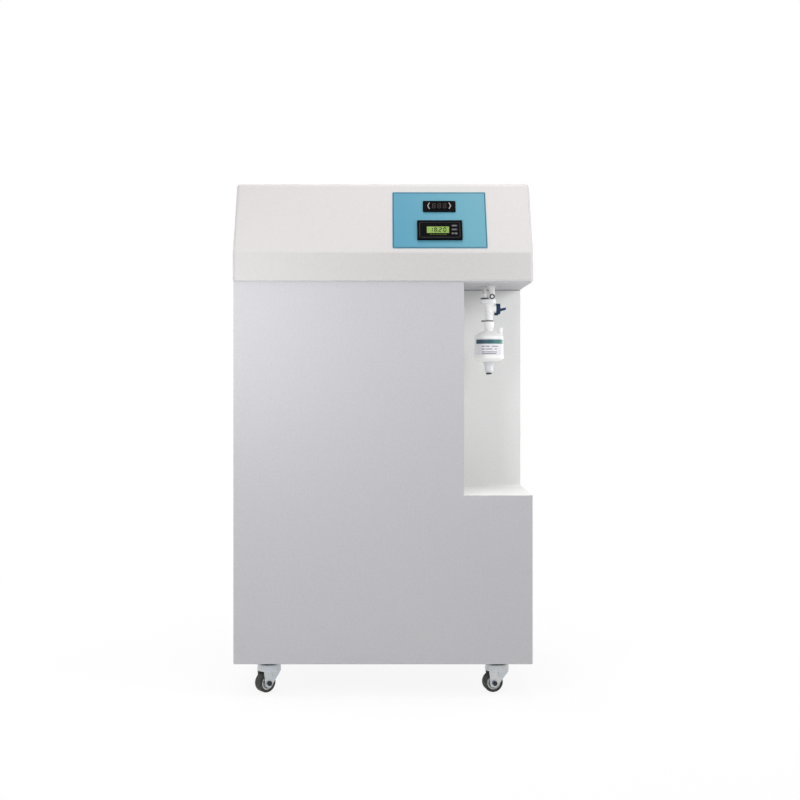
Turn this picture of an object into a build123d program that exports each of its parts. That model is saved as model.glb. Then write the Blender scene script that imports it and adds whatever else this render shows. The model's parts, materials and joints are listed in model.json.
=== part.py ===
from build123d import *
import os
from math import cos, radians, sin, tan

# Floor-standing laboratory water purifier with an open dispensing bay, on four swivel castors.
# Lengths are in millimetres. The front faces -Y, +X is the viewer's right and +Z is up.
# The origin lies on the floor under the middle of the part.

# Cabinet sheet metal
cabinet_width = 630
cabinet_depth = 520
cabinet_top = 875
sheet = 1.5
bend_radius = 2.5
front_return = 18
side_return = 20
panel_seam = 0.5
rear_margin = 3
tray_lip = 30
shelf_height = 400
shelf_lip = 18

# Fits and cuts
overrun = 5
fit_gap = 0.3
running_gap = 0.06

# Rear vents and panel screws
vent_width = 90
vent_height = 6
vent_pitch = 16
vent_rows = 9
vent_offset = 120
vent_drop = 190
screw_radius = 2
screw_head_radius = 4
screw_head = 2.4
screw_length = 9
screw_recess_width = 1
screw_recess_reach = 2.2
screw_recess_depth = 1.2
screw_edge = 11
rear_screw_rows = 5
rear_screw_margin = 40
hood_screw_rise = 8
hood_screw_spread = 160
hood_screw_count = 4

# Dispensing bay
bay_width = 144.5
bay_depth = 209
ledge_height = 427

# Hood
hood_seam = 3
hood_overhang = 2
hood_height = 216
band_height = 59
slope_angle = 25
hood_wall = 2.5
hood_fold_radius = 9
hood_corner_radius = 7
deck_lip = 14

# Fascia on the slope; a rise is measured along the slope from the band's upper edge
fascia_width = 201
fascia_height = 141
fascia_thickness = 0.8
fascia_radius = 2
fascia_x = 120.5
fascia_rise = 81
meter_gap = 0.5
bezel_radius = 2
bezel_chamfer = 1

# Upper panel meter
upper_meter_width = 70
upper_meter_height = 27.5
upper_meter_bezel = 3
upper_meter_rise = 114.2
upper_case_depth = 45
upper_case_step = 2.5
window_width = 54
window_height = 19
window_point = 5
window_thickness = 1.8
window_seat = 1
window_chamfer = 0.7

# Lower panel meter and its keys
lower_meter_width = 96
lower_meter_height = 48
lower_meter_bezel = 4.5
lower_meter_rise = 53.8
lower_case_depth = 70
lower_case_step = 2.25
face_rim = 4.7
face_recess = 0.8
display_width = 47
display_height = 16
display_shift = 4
display_thickness = 1.5
key_width = 12.6
key_height = 5.6
key_shift = 31
key_pitch = 9.6
key_body = 4.5
key_proud = 1.2
key_travel = 1
key_fillet = 0.6
key_gap = 0.25
key_count = 3

# Outlet manifold and its two tubes
outlet_side = 82
outlet_inset = 105
supply_offset = 6.2
return_offset = 9.9
supply_radius = 4.75
return_radius = 4
tube_wall = 1.2
stem_radius = 6.5
stem_flange_radius = 9.5
stem_flange = 2
stem_socket = 14
socket_radius = 7
socket_height = 12
block_height = 10
block_radius = 9
plug_rise = 15.5
plug_radius = 6.2
plug_reach = 10
plug_nub_radius = 3.2
plug_nub = 1.5
ring_thickness = 1.2
ring_width = 2.4
clip_thickness = 2.6
clip_width = 1.8
clip_mouth = 7
clip_tab = 6

# Outlet valve
valve_drop = 50
barrel_radius = 11
barrel_top = 11
barrel_bottom = 13
collar_radius = 9.4
collar_height = 3
spigot_radius = 8
spigot_length = 15
bore_radius = 3
ball_radius = 7
boss_radius = 8.5
boss_reach = 15.5
stem_bolt_radius = 3
stem_bolt_engagement = 6
handle_bar_height = 23.5
handle_bar_depth = 15
handle_bar_thickness = 9
blade_length = 12
blade_root_depth = 14
blade_root_thickness = 7
blade_tip_depth = 11
blade_tip_thickness = 5
blade_drop = 3.5
blade_lift = 4
handle_fillet = 1.5
stop_gap = 0.6
stop_depth = 5
stop_height = 5
stop_drop = 11.5

# Filter capsule, vent cap and nozzle
neck_radius = 10.5
neck_length = 14
neck_waist_radius = 8.5
neck_waist_length = 6
capsule_radius = 32
shoulder_height = 13
shoulder_radius = 40
capsule_length = 48
weld_radius = 33
weld_height = 3
base_height = 7
cone_radius = 13
cone_height = 10
nozzle_radius = 9.5
nozzle_length = 11
tip_radius = 5.5
tip_length = 9
tip_bore_radius = 2.5
tip_groove_depth = 0.8
tip_groove_width = 4
tip_groove_drop = 3
vent_cap_offset = 25.5
vent_boss_radius = 4.2
vent_boss_rise = 9.5
vent_stem_radius = 2.5
vent_stem_length = 6
vent_cap_radius = 5
vent_cap_height = 9.5
vent_cap_flat_count = 12

# Rear fittings and power inlet
port_reach = 22
port_inset_feed = 95
port_rise = 50
port_flange_radius = 12.5
port_flange = 6
port_body_radius = 9
port_bore_radius = 4.85
port_bore_depth = 16
port_thread_radius = 8
port_inner = 18
port_nut_radius = 12
port_nut = 6
inlet_side = 190
inlet_rise = 110
inlet_width = 31
inlet_height = 64
inlet_flange = 3
inlet_radius = 3
inlet_step = 2
inlet_depth = 38
socket_width = 24.5
socket_tall = 17
socket_cut = 5
socket_depth = 19
socket_drop = 15
pin_width = 2
pin_tall = 4
pin_length = 13
pin_spread = 7
pin_offset = 2
rocker_radius = 9.2
rocker_width = 13
rocker_rise = 17
rocker_face = 2
rocker_tilt_angle = 12

# Castors
castor_height = 71.5
castor_inset_x = 70
castor_inset_y = 52
castor_yaw_angles = {"front_left": 40, "front_right": 13, "rear_left": 25, "rear_right": -30}
plate_size = 60
plate_thickness = 2.5
plate_corner = 5
plate_hole_pitch = 44
castor_bolt_radius = 3
castor_bolt_head_radius = 5.5
castor_bolt_head = 4
race_radius = 22
race_height = 17
kingpin_radius = 5
kingpin_head_radius = 8
kingpin_head = 3
castor_trail = 10
crown_gap = 0.5
crown_radius = 25
crown_top_radius = 19
crown_height = 4.5
fork_sheet = 2.5
leg_gap = 1.5
leg_tip_radius = 9.5
leg_half_width = 21
leg_pad_radius = 7.5
leg_pad = 0.8
leg_rib_radius = 1.4
leg_rib_length = 10
wheel_radius = 21
wheel_width = 21
tyre_thickness = 6
tyre_shoulder = 3.5
rim_width = 19
rim_thickness = 3
web_width = 6
hub_radius = 7
axle_radius = 3
axle_head_radius = 5.5
axle_head = 4

# Prefilters
prefilter_count = 3
prefilter_inset_x = 95
prefilter_inset_y = 130
prefilter_radius = 40
prefilter_floor_gap = 30.5
prefilter_dome = 14
prefilter_collar_radius = 34
prefilter_collar = 12
prefilter_head_radius = 42
prefilter_head_height = 45
prefilter_stub = 13
prefilter_stub_radius = 9

# Booster pump
pump_inset_y = 130
pump_rise = 57
pump_head_length = 70
pump_head_depth = 80
pump_head_height = 70
pump_head_fillet = 8
pump_port_spread = 25
pump_port_radius = 8
pump_port_length = 22
motor_radius = 45
motor_length = 130
motor_fillet = 6
motor_foot_length = 110
motor_foot_depth = 96
motor_foot = 3
motor_saddle_width = 40
foot_radius = 8
foot_height = 6
foot_margin = 12

# Reverse-osmosis housing and deionising cartridges
ro_clearance = 90.5
ro_radius = 35
ro_headroom = 53
ro_cap_radius = 39
ro_cap_height = 34
ro_stub = 22
ro_stub_radius = 7
ro_brine_offset = 30
di_count = 2
di_inset_x = 115
di_inset_y = 140
di_pitch = 130
di_radius = 55
di_headroom = 45
di_cap_radius = 58
di_cap_height = 40
di_fillet = 6
di_port_offset = 28
di_stub = 22
di_stub_radius = 7

# Drain solenoid valve
solenoid_width = 30
solenoid_length = 60
solenoid_height = 26
solenoid_coil_radius = 15
solenoid_coil_height = 42
solenoid_setback = 115
solenoid_foot = 3

# Inner tubing
tubing_radius = 4.75
tubing_bend = 24
upper_run_drop = 25
supply_run_rise = 52
return_run_rise = 78

# Power supply and control board on the deck
supply_box_length = 200
supply_box_width = 100
supply_box_height = 55
supply_box_inset_x = 85
supply_box_inset_y = 190
supply_slot_width = 60
supply_slot_height = 4
supply_slot_pitch = 14
supply_slot_rows = 8
supply_slot_depth = 2
board_width = 160
board_depth = 80
board_thickness = 1.6
board_rise = 10
board_inset_y = 52
board_x = -65
board_post_radius = 4
board_post_margin = 8
relay_width = 18
relay_depth = 24
relay_height = 16
relay_count = 5
relay_pitch = 26
terminal_width = 120
terminal_depth = 12
terminal_height = 12

# Places worked out from the sizes
half_width = cabinet_width / 2
hood_width = cabinet_width + hood_overhang + hood_overhang
overall_depth = hood_overhang + cabinet_depth + port_reach
hood_front = -overall_depth / 2
front_face = hood_front + hood_overhang
rear_face = front_face + cabinet_depth
panel_bottom = castor_height - sheet
side_front = front_face + front_return + panel_seam
side_back = rear_face - sheet
bay_left = half_width - bay_width
bay_back = front_face + bay_depth
hood_bottom = cabinet_top + hood_seam
hood_top = hood_bottom + hood_height
band_top = hood_bottom + band_height
slope = radians(slope_angle)
slope_top_y = hood_front + (hood_height - band_height) * tan(slope)
deck_floor = cabinet_top + sheet
tray_floor = castor_height + sheet
outlet_x = half_width - outlet_side
outlet_y = front_face + outlet_inset
supply_x = outlet_x + supply_offset
return_x = outlet_x - return_offset
valve_height = cabinet_top - valve_drop
valve_top = valve_height + barrel_top
valve_bottom = valve_height - barrel_bottom
block_top = valve_top + block_height
neck_top = valve_bottom - spigot_length
shoulder_top = neck_top - neck_length - neck_waist_length
capsule_top = shoulder_top - shoulder_height
capsule_bottom = capsule_top - capsule_length - base_height
nozzle_top = capsule_bottom - cone_height
tip_top = nozzle_top - nozzle_length
tip_end = tip_top - tip_length
ring_top = tip_top - tip_groove_drop
vent_x = outlet_x + vent_cap_offset
vent_seat = capsule_top + vent_boss_rise
prefilter_pitch = 2 * (prefilter_head_radius + prefilter_stub)
prefilter_x = [-half_width + prefilter_inset_x + i * prefilter_pitch for i in range(prefilter_count)]
prefilter_y = rear_face - prefilter_inset_y
prefilter_top = shelf_height - sheet
prefilter_port = prefilter_top - prefilter_head_height / 2
ro_x = bay_left - ro_clearance
pump_y = front_face + pump_inset_y
pump_z = tray_floor + pump_rise
pump_port_top = pump_z + pump_head_height / 2 + pump_port_length
pump_inlet_y = pump_y - pump_port_spread
pump_outlet_y = pump_y + pump_port_spread
ro_y = pump_outlet_y
ro_brine_y = ro_y + ro_brine_offset
ro_height = cabinet_top - ro_headroom - ro_stub - shelf_height
ro_lower_end = shelf_height - ro_stub
ro_upper_end = shelf_height + ro_height + ro_stub
di_height = cabinet_top - di_headroom - di_stub - shelf_height
di_x = [-half_width + di_inset_x + i * di_pitch for i in range(di_count)]
di_y = rear_face - di_inset_y
di_inlet_y = di_y - di_port_offset
di_outlet_y = di_y + di_port_offset
di_upper_end = shelf_height + di_height + di_stub
port_z = tray_floor + port_rise
port_x = {"feed": -half_width + port_inset_feed, "drain": ro_x}
port_inner_end = side_back - port_inner
solenoid_y = pump_y + solenoid_setback + solenoid_length / 2
upper_run = cabinet_top - upper_run_drop
inlet_x = half_width - inlet_side
inlet_z = panel_bottom + inlet_rise
rocker_z = inlet_z + rocker_rise
rocker_y = rear_face + inlet_flange - rocker_face
axle_height = wheel_radius
crown_top = castor_height - plate_thickness - race_height - crown_gap
crown_bottom = crown_top - crown_height
leg_inner = wheel_width / 2 + leg_gap
leg_outer = leg_inner + fork_sheet
castor_x = half_width - castor_inset_x
castor_places = {
    "front_left": (-castor_x, front_face + castor_inset_y),
    "front_right": (castor_x, front_face + castor_inset_y),
    "rear_left": (-castor_x, rear_face - castor_inset_y),
    "rear_right": (castor_x, rear_face - castor_inset_y),
}

on_base = (Align.CENTER, Align.CENTER, Align.MIN)
hung = (Align.CENTER, Align.CENTER, Align.MAX)


# Shared shapes

def block(x_span, y_span, z_span):
    """A box between the low and high edges of each span."""
    spans = (x_span, y_span, z_span)
    size = [high - low for low, high in spans]
    centre = [(low + high) / 2 for low, high in spans]
    return Pos(*centre) * Box(*size)


def panel(u_span, v_span):
    """A flat rectangle between the low and high edges of each span."""
    size = (u_span[1] - u_span[0], v_span[1] - v_span[0])
    return Pos(sum(u_span) / 2, sum(v_span) / 2) * Rectangle(*size)


def pan(plane, outline, depth):
    """A folded sheet pan: the outline on its plane, with returns of the given signed depth."""
    inward = 1 if depth > 0 else -1
    form = extrude(plane * outline, amount=depth)
    face = form.faces().sort_by_distance(plane.origin + plane.z_dir * (-inward * cabinet_width))[0]
    form = fillet(face.edges(), bend_radius)
    inner = offset(outline, amount=-sheet, kind=Kind.INTERSECTION)
    hollow = extrude(plane.offset(inward * sheet) * inner, amount=depth)
    return form - hollow


def turned(outline):
    """A solid of revolution about Z from an outline of radius and height points."""
    return revolve(Plane.XZ * make_face(outline), axis=Axis.Z)


def rod(start, end, radius):
    """A round bar from one point to another."""
    run = Vector(*end) - Vector(*start)
    return Plane(origin=start, z_dir=run) * Cylinder(radius, run.length, align=on_base)


def hexagon(radius, thickness):
    """A hexagonal head or nut standing on its base."""
    return extrude(RegularPolygon(radius, 6), amount=thickness)


def outer_rims(ring):
    """The widest circular edges of a ring."""
    return ring.edges().filter_by(GeomType.CIRCLE).group_by(SortBy.RADIUS)[-1]


def tube(points, radius, bend):
    """A hollow tube along straight runs joined by arcs."""
    path = FilletPolyline(*points, radius=bend) if len(points) > 2 else Line(*points)
    section = Plane(origin=path @ 0, z_dir=path % 0) * (Circle(radius) - Circle(radius - tube_wall))
    return sweep(section, path=path)


def group(solids):
    """Separate solids kept together in one node."""
    return Compound(children=list(solids))


def slope_plane(x, rise):
    """The plane of the hood's slope at a point, with its Z axis outward and its Y axis up the slope."""
    origin = (x, hood_front + rise * sin(slope), band_top + rise * cos(slope))
    return Plane(origin=origin, x_dir=(1, 0, 0), z_dir=(0, -cos(slope), sin(slope)))


# Places of the screws

def rear_screw_places():
    """The rear panel's screws, in two columns, as X and Z."""
    low = panel_bottom + rear_screw_margin
    step = (cabinet_top - rear_screw_margin - low) / (rear_screw_rows - 1)
    x = half_width - screw_edge
    return [(side * x, low + i * step) for side in (-1, 1) for i in range(rear_screw_rows)]


def hood_screw_places():
    """The screws through the hood's rear wall into the deck's lip, as X and Z."""
    first = -hood_screw_spread * (hood_screw_count - 1) / 2
    z = hood_bottom + hood_screw_rise
    return [(first + i * hood_screw_spread, z) for i in range(hood_screw_count)]


def screw_holes(places, radius):
    """Round cuts along Y through the rear of the cabinet."""
    reach = screw_length + overrun
    return [rod((x, rear_face - reach, z), (x, rear_face + reach, z), radius) for x, z in places]


# Cabinet

def make_base_tray():
    """The floor tray, with its lips up and the castors' bolt holes."""
    x = half_width - sheet - fit_gap
    y_span = (side_front + sheet + fit_gap, side_back - sheet - fit_gap)
    plane = Plane.XY.offset(castor_height)
    tray = pan(plane, panel((-x, x), y_span), tray_lip)
    for place in castor_bolt_places():
        tray -= Pos(*place, castor_height) * Cylinder(castor_bolt_radius + running_gap, 2 * tray_lip)
    return tray


def make_left_side_panel():
    """The plain side panel."""
    plane = Plane(origin=(-half_width, 0, 0), x_dir=(0, 1, 0), z_dir=(1, 0, 0))
    form = pan(plane, panel((side_front, side_back), (panel_bottom, cabinet_top)), side_return)
    return form - screw_holes(rear_screw_places(), screw_radius + running_gap)


def make_right_side_panel():
    """The side panel that is cut away round the bay."""
    plane = Plane(origin=(half_width, 0, 0), x_dir=(0, 1, 0), z_dir=(1, 0, 0))
    low = panel((side_front, side_back), (panel_bottom, ledge_height - sheet))
    tall = panel((bay_back + sheet, side_back), (panel_bottom, cabinet_top))
    form = pan(plane, low + tall, -side_return)
    return form - screw_holes(rear_screw_places(), screw_radius + running_gap)


def make_front_panel():
    """The L-shaped front panel with its folded edges."""
    plane = Plane(origin=(0, front_face, 0), x_dir=(1, 0, 0), z_dir=(0, -1, 0))
    tall = panel((-half_width, bay_left), (panel_bottom, cabinet_top))
    low = panel((-half_width, half_width), (panel_bottom, ledge_height - sheet))
    return pan(plane, tall + low, -front_return)


def make_rear_panel():
    """The screwed rear panel with its vent slots and cut-outs."""
    plane = Plane(origin=(0, rear_face, 0), x_dir=(1, 0, 0), z_dir=(0, -1, 0))
    x = half_width - rear_margin
    form = panel((-x, x), (panel_bottom + rear_margin, cabinet_top - rear_margin))
    middle = cabinet_top - vent_drop
    for side in (-1, 1):
        for row in range(vent_rows):
            rise = (row - (vent_rows - 1) / 2) * vent_pitch
            form -= Pos(side * vent_offset, middle + rise) * SlotOverall(vent_width, vent_height)
    for x in port_x.values():
        form -= Pos(x, port_z) * Circle(port_thread_radius + fit_gap)
    body = (inlet_width - 2 * inlet_step + 2 * fit_gap, inlet_height - 2 * inlet_step + 2 * fit_gap)
    form -= Pos(inlet_x, inlet_z) * Rectangle(*body)
    for place in rear_screw_places():
        form -= Pos(*place) * Circle(screw_radius + running_gap)
    return extrude(plane * form, amount=sheet)


def make_bay_liner():
    """The bay's cheek, back wall and ledge, folded from one sheet."""
    x_span = (bay_left - sheet, half_width)
    wall = block(x_span, (bay_back, bay_back + sheet), (ledge_height - sheet, cabinet_top))
    cheek = block((bay_left - sheet, bay_left), (side_front, bay_back), (ledge_height - sheet, cabinet_top))
    ledge = block((bay_left, half_width), (front_face, bay_back), (ledge_height - sheet, ledge_height))
    liner = wall + cheek + ledge
    corner = (bay_left, bay_back, ledge_height)
    folds = [edge for edge in liner.edges() if is_inner_fold(edge, corner)]
    return fillet(folds, bend_radius)


def is_inner_fold(edge, corner):
    """Whether an edge starts or ends at the corner where a folded sheet's inner faces meet."""
    return any((vertex.center() - Vector(*corner)).length < running_gap for vertex in edge.vertices())


def make_top_deck():
    """The deck under the hood, with its lips up; its underside is the bay's ceiling."""
    x = half_width + hood_overhang - hood_wall - fit_gap
    y_span = (hood_front + hood_wall + fit_gap, rear_face - hood_wall - fit_gap)
    outline = panel((-x, x), y_span)
    outline = fillet(outline.vertices(), hood_corner_radius - hood_wall)
    inner = offset(outline, amount=-sheet)
    deck = extrude(Plane.XY.offset(cabinet_top) * outline, amount=sheet + deck_lip)
    deck -= extrude(Plane.XY.offset(deck_floor) * inner, amount=deck_lip)
    holes = [
        (supply_x, outlet_y, supply_radius),
        (return_x, outlet_y, return_radius),
        (di_x[0], di_y, return_radius),
        (di_x[-1], di_outlet_y, supply_radius),
    ]
    for x, y, radius in holes:
        deck -= Pos(x, y, cabinet_top) * Cylinder(radius + fit_gap, 2 * deck_lip)
    return deck - screw_holes(hood_screw_places(), screw_radius + running_gap)


def make_equipment_shelf():
    """The shelf across the cabinet, with its lips down."""
    x = half_width - sheet - fit_gap
    y_span = (side_front + sheet + fit_gap, side_back - sheet - fit_gap)
    shelf = pan(Plane.XY.offset(shelf_height), panel((-x, x), y_span), -shelf_lip)
    for y in (ro_y, ro_brine_y):
        shelf -= Pos(ro_x, y, shelf_height) * Cylinder(ro_stub_radius + fit_gap, 2 * shelf_lip)
    return shelf


def make_panel_screws():
    """Cross-recess pan-head screws of the rear panel and of the hood's rear wall."""
    head = Cylinder(screw_head_radius, screw_head, align=on_base)
    head = fillet(head.edges().sort_by(Axis.Z)[-1], screw_head / 2)
    recess = Pos(0, 0, screw_head) * Box(2 * screw_recess_reach, screw_recess_width, 2 * screw_recess_depth)
    screw = head + Cylinder(screw_radius, screw_length, align=hung) - recess - Rot(Z=90) * recess
    places = rear_screw_places() + hood_screw_places()
    return group(Pos(x, rear_face, z) * Rot(X=-90) * screw for x, z in places)


# Hood, fascia and meters

def make_hood():
    """The folded hood: a vertical band, a sloped face and a flat top, open below."""
    outline = Polyline(
        (hood_front, hood_bottom),
        (hood_front, band_top),
        (slope_top_y, hood_top),
        (rear_face, hood_top),
        (rear_face, hood_bottom),
        close=True,
    )
    form = extrude(Plane.YZ * make_face(outline), amount=hood_width / 2, both=True)
    folds = form.edges().filter_by(Axis.X).sort_by(Axis.Z)[2:]
    form = fillet(folds, hood_fold_radius)
    sides = form.faces().sort_by(Axis.X)
    rims = [edge for face in (sides[0], sides[-1]) for edge in face.edges() if edge.center().Z > hood_bottom]
    form = fillet(rims, hood_corner_radius)
    bottom = form.faces().sort_by(Axis.Z)[0]
    hood = offset(form, amount=-hood_wall, openings=bottom)
    for width, height, rise in meter_cutouts():
        hood -= slope_plane(fascia_x, rise) * Box(width, height, 2 * hood_corner_radius)
    return hood - screw_holes(hood_screw_places(), screw_radius + running_gap)


def meter_cutouts():
    """Width, height and rise of the two holes that the meter cases pass through."""
    upper = (upper_meter_width, upper_meter_height, upper_case_step, upper_meter_rise)
    lower = (lower_meter_width, lower_meter_height, lower_case_step, lower_meter_rise)
    cutouts = []
    for width, height, step, rise in (upper, lower):
        margin = 2 * (meter_gap - step)
        cutouts.append((width + margin, height + margin, rise))
    return cutouts


def make_fascia_label():
    """The thin fascia sheet on the slope."""
    form = RectangleRounded(fascia_width, fascia_height, fascia_radius)
    for width, height, rise in meter_cutouts():
        form -= Pos(0, rise - fascia_rise) * Rectangle(width, height)
    return slope_plane(fascia_x, fascia_rise) * extrude(form, amount=fascia_thickness)


def meter_case(width, height, bezel, step, depth):
    """A panel meter's case: the bezel in front of the fascia and the body behind it."""
    front = extrude(RectangleRounded(width, height, bezel_radius), amount=bezel)
    front = chamfer(front.faces().sort_by(Axis.Z)[-1].edges(), bezel_chamfer)
    body = Box(width - 2 * step, height - 2 * step, depth, align=hung)
    return Pos(0, 0, fascia_thickness) * (front + body)


def window_outline():
    """The upper meter's long six-sided window."""
    end = window_width / 2
    side = end - window_point
    top = window_height / 2
    points = [(end, 0), (side, top), (-side, top), (-end, 0), (-side, -top), (side, -top)]
    return make_face(Polyline(*points, close=True))


def make_upper_meter_case():
    """The upper meter's case with the seat of its window."""
    size = (upper_meter_width, upper_meter_height, upper_meter_bezel)
    case = meter_case(*size, upper_case_step, upper_case_depth)
    top = fascia_thickness + upper_meter_bezel
    seat = offset(window_outline(), amount=running_gap)
    case -= Pos(0, 0, top) * extrude(seat, amount=-window_seat)
    return slope_plane(fascia_x, upper_meter_rise) * case


def make_upper_meter_window():
    """The upper meter's raised window with bevelled edges."""
    window = extrude(window_outline(), amount=window_thickness)
    window = chamfer(window.faces().sort_by(Axis.Z)[-1].edges(), window_chamfer)
    lift = fascia_thickness + upper_meter_bezel - window_seat
    return slope_plane(fascia_x, upper_meter_rise) * Pos(0, 0, lift) * window


lower_face = fascia_thickness + lower_meter_bezel - face_recess
key_pocket = key_body - key_proud + key_travel + fit_gap


def key_places():
    """The keys' places on the lower meter's face, from the top down."""
    return [(key_shift, (1 - i) * key_pitch) for i in range(key_count)]


def make_lower_meter_case():
    """The lower meter's case: a sunken face with the display's seat and the keys' pockets."""
    size = (lower_meter_width, lower_meter_height, lower_meter_bezel)
    case = meter_case(*size, lower_case_step, lower_case_depth)
    face = RectangleRounded(lower_meter_width - 2 * face_rim, lower_meter_height - 2 * face_rim, bezel_radius)
    case -= Pos(0, 0, lower_face) * extrude(face, amount=face_recess + overrun)
    display = Rectangle(display_width + 2 * running_gap, display_height + 2 * running_gap)
    case -= Pos(-display_shift, 0, lower_face) * extrude(display, amount=-display_thickness)
    for place in key_places():
        pocket = Rectangle(key_width + 2 * key_gap, key_height + 2 * key_gap)
        case -= Pos(*place, lower_face) * extrude(pocket, amount=-key_pocket)
    return slope_plane(fascia_x, lower_meter_rise) * case


def make_lower_meter_display():
    """The lower meter's display glass, flush with the face."""
    glass = Box(display_width, display_height, display_thickness, align=hung)
    return slope_plane(fascia_x, lower_meter_rise) * Pos(-display_shift, 0, lower_face) * glass


def make_meter_keys():
    """The lower meter's three push keys."""
    key = Box(key_width, key_height, key_body, align=hung)
    key = fillet(key.faces().sort_by(Axis.Z)[-1].edges(), key_fillet)
    plane = slope_plane(fascia_x, lower_meter_rise)
    names = [f"meter_key_{i + 1}" for i in range(key_count)]
    placed = [plane * Pos(*place, lower_face + key_proud) * key for place in key_places()]
    return dict(zip(names, placed))


# Outlet in the bay

def make_loop_tubes():
    """The supply and return tubes between the deionising cartridges and the outlet manifold."""
    supply_run = deck_floor + supply_run_rise
    return_run = deck_floor + return_run_rise
    supply = [
        (di_x[-1], di_outlet_y, di_upper_end),
        (di_x[-1], di_outlet_y, supply_run),
        (supply_x, outlet_y, supply_run),
        (supply_x, outlet_y, cabinet_top - stem_socket),
    ]
    back = [
        (di_x[0], di_y, di_upper_end),
        (di_x[0], di_y, return_run),
        (return_x, outlet_y, return_run),
        (return_x, outlet_y, block_top),
    ]
    return group([tube(supply, supply_radius, tubing_bend), tube(back, return_radius, tubing_bend)])


def make_outlet_manifold():
    """The manifold that hangs from the deck: supply stem, return socket and a plugged front port."""
    stem = Pos(supply_offset, 0, block_top) * Cylinder(stem_radius, cabinet_top - block_top, align=on_base)
    flange = Pos(supply_offset, 0, cabinet_top) * Cylinder(stem_flange_radius, stem_flange, align=hung)
    socket = Pos(-return_offset, 0, block_top) * Cylinder(socket_radius, socket_height, align=on_base)
    ends = Pos(supply_offset, 0) * Circle(block_radius)
    body = make_hull((ends + Pos(-return_offset, 0) * Circle(block_radius)).edges())
    base = Pos(0, 0, valve_top) * extrude(body, amount=block_height)
    base = fillet(base.faces().sort_by(Axis.Z)[0].edges(), handle_fillet)
    plug_z = block_top + plug_rise - block_height
    port = rod((supply_offset, 0, plug_z), (supply_offset, -plug_reach, plug_z), plug_radius)
    nub_end = (supply_offset, -plug_reach - plug_nub, plug_z)
    port += rod((supply_offset, -plug_reach, plug_z), nub_end, plug_nub_radius)
    form = stem + flange + socket + base + port
    bore = Cylinder(supply_radius + running_gap, stem_socket, align=hung)
    form -= Pos(supply_offset, 0, cabinet_top) * bore
    bore = Cylinder(return_radius + running_gap, socket_height, align=on_base)
    form -= Pos(-return_offset, 0, block_top) * bore
    return Pos(outlet_x, outlet_y, 0) * form


def make_seal_rings():
    """The dark sealing rings of the manifold's plugged port and of the nozzle's tip."""
    plug_z = block_top + plug_rise - block_height
    flat = extrude(Circle(plug_nub_radius + running_gap + ring_width) - Circle(plug_nub_radius + running_gap),
                   amount=ring_thickness)
    plug = Pos(outlet_x + supply_offset, outlet_y - plug_reach, plug_z) * Rot(X=90) * flat
    inner = tip_radius - tip_groove_depth + running_gap
    tip = extrude(Circle(tip_radius + tip_groove_depth) - Circle(inner), amount=-tip_groove_width + fit_gap)
    tip = fillet(outer_rims(tip), tip_groove_depth / 2)
    return group([plug, Pos(outlet_x, outlet_y, ring_top) * tip])


def lock_clip(radius):
    """An open clip round a fitting, with a thumb tab on the left."""
    ring = Circle(radius + fit_gap + clip_width) - Circle(radius + fit_gap)
    ring -= Pos(0, radius) * Rectangle(clip_mouth, 2 * radius)
    tab = RectangleRounded(clip_tab + clip_width, clip_tab, clip_width / 2)
    tab = Pos(-radius - clip_width - clip_tab / 2, 0) * tab
    return extrude(ring + tab, amount=clip_thickness)


def make_lock_clips():
    """The clips that lock the return socket and the capsule's neck."""
    upper = Pos(return_x, outlet_y, block_top) * Rot(Z=90) * lock_clip(socket_radius)
    lower = Pos(outlet_x, outlet_y, neck_top) * lock_clip(spigot_radius)
    return group([upper, lower])


def make_valve_body():
    """The ball valve's body: an upright barrel with collars, a side boss for the stem and a lower spigot."""
    waist = valve_top - collar_height
    outline = Polyline(
        (0, valve_top),
        (barrel_radius, valve_top),
        (barrel_radius, waist),
        (collar_radius, waist - collar_height),
        (collar_radius, valve_bottom + 2 * collar_height),
        (barrel_radius, valve_bottom + collar_height),
        (barrel_radius, valve_bottom),
        (spigot_radius, valve_bottom),
        (spigot_radius, neck_top),
        (0, neck_top),
        close=True,
    )
    body = turned(outline)
    body += rod((0, 0, valve_height), (boss_reach, 0, valve_height), boss_radius)
    body -= Pos(0, 0, neck_top - overrun) * Cylinder(bore_radius, valve_top - neck_top, align=on_base)
    body -= Pos(0, 0, valve_height) * Sphere(ball_radius + running_gap)
    body -= rod((0, 0, valve_height), (boss_reach + overrun, 0, valve_height), stem_bolt_radius + running_gap)
    return Pos(outlet_x, outlet_y, 0) * body


def make_valve_ball():
    """The ball with its stem; its water way lies across the flow while the valve is shut."""
    ball = Sphere(ball_radius)
    ball -= rod((0, -ball_radius - overrun, 0), (0, ball_radius + overrun, 0), bore_radius)
    reach = boss_reach + fit_gap + stem_bolt_engagement
    stem = rod((ball_radius - bore_radius, 0, 0), (reach, 0, 0), stem_bolt_radius)
    return Pos(outlet_x, outlet_y, valve_height) * (ball + stem)


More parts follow.
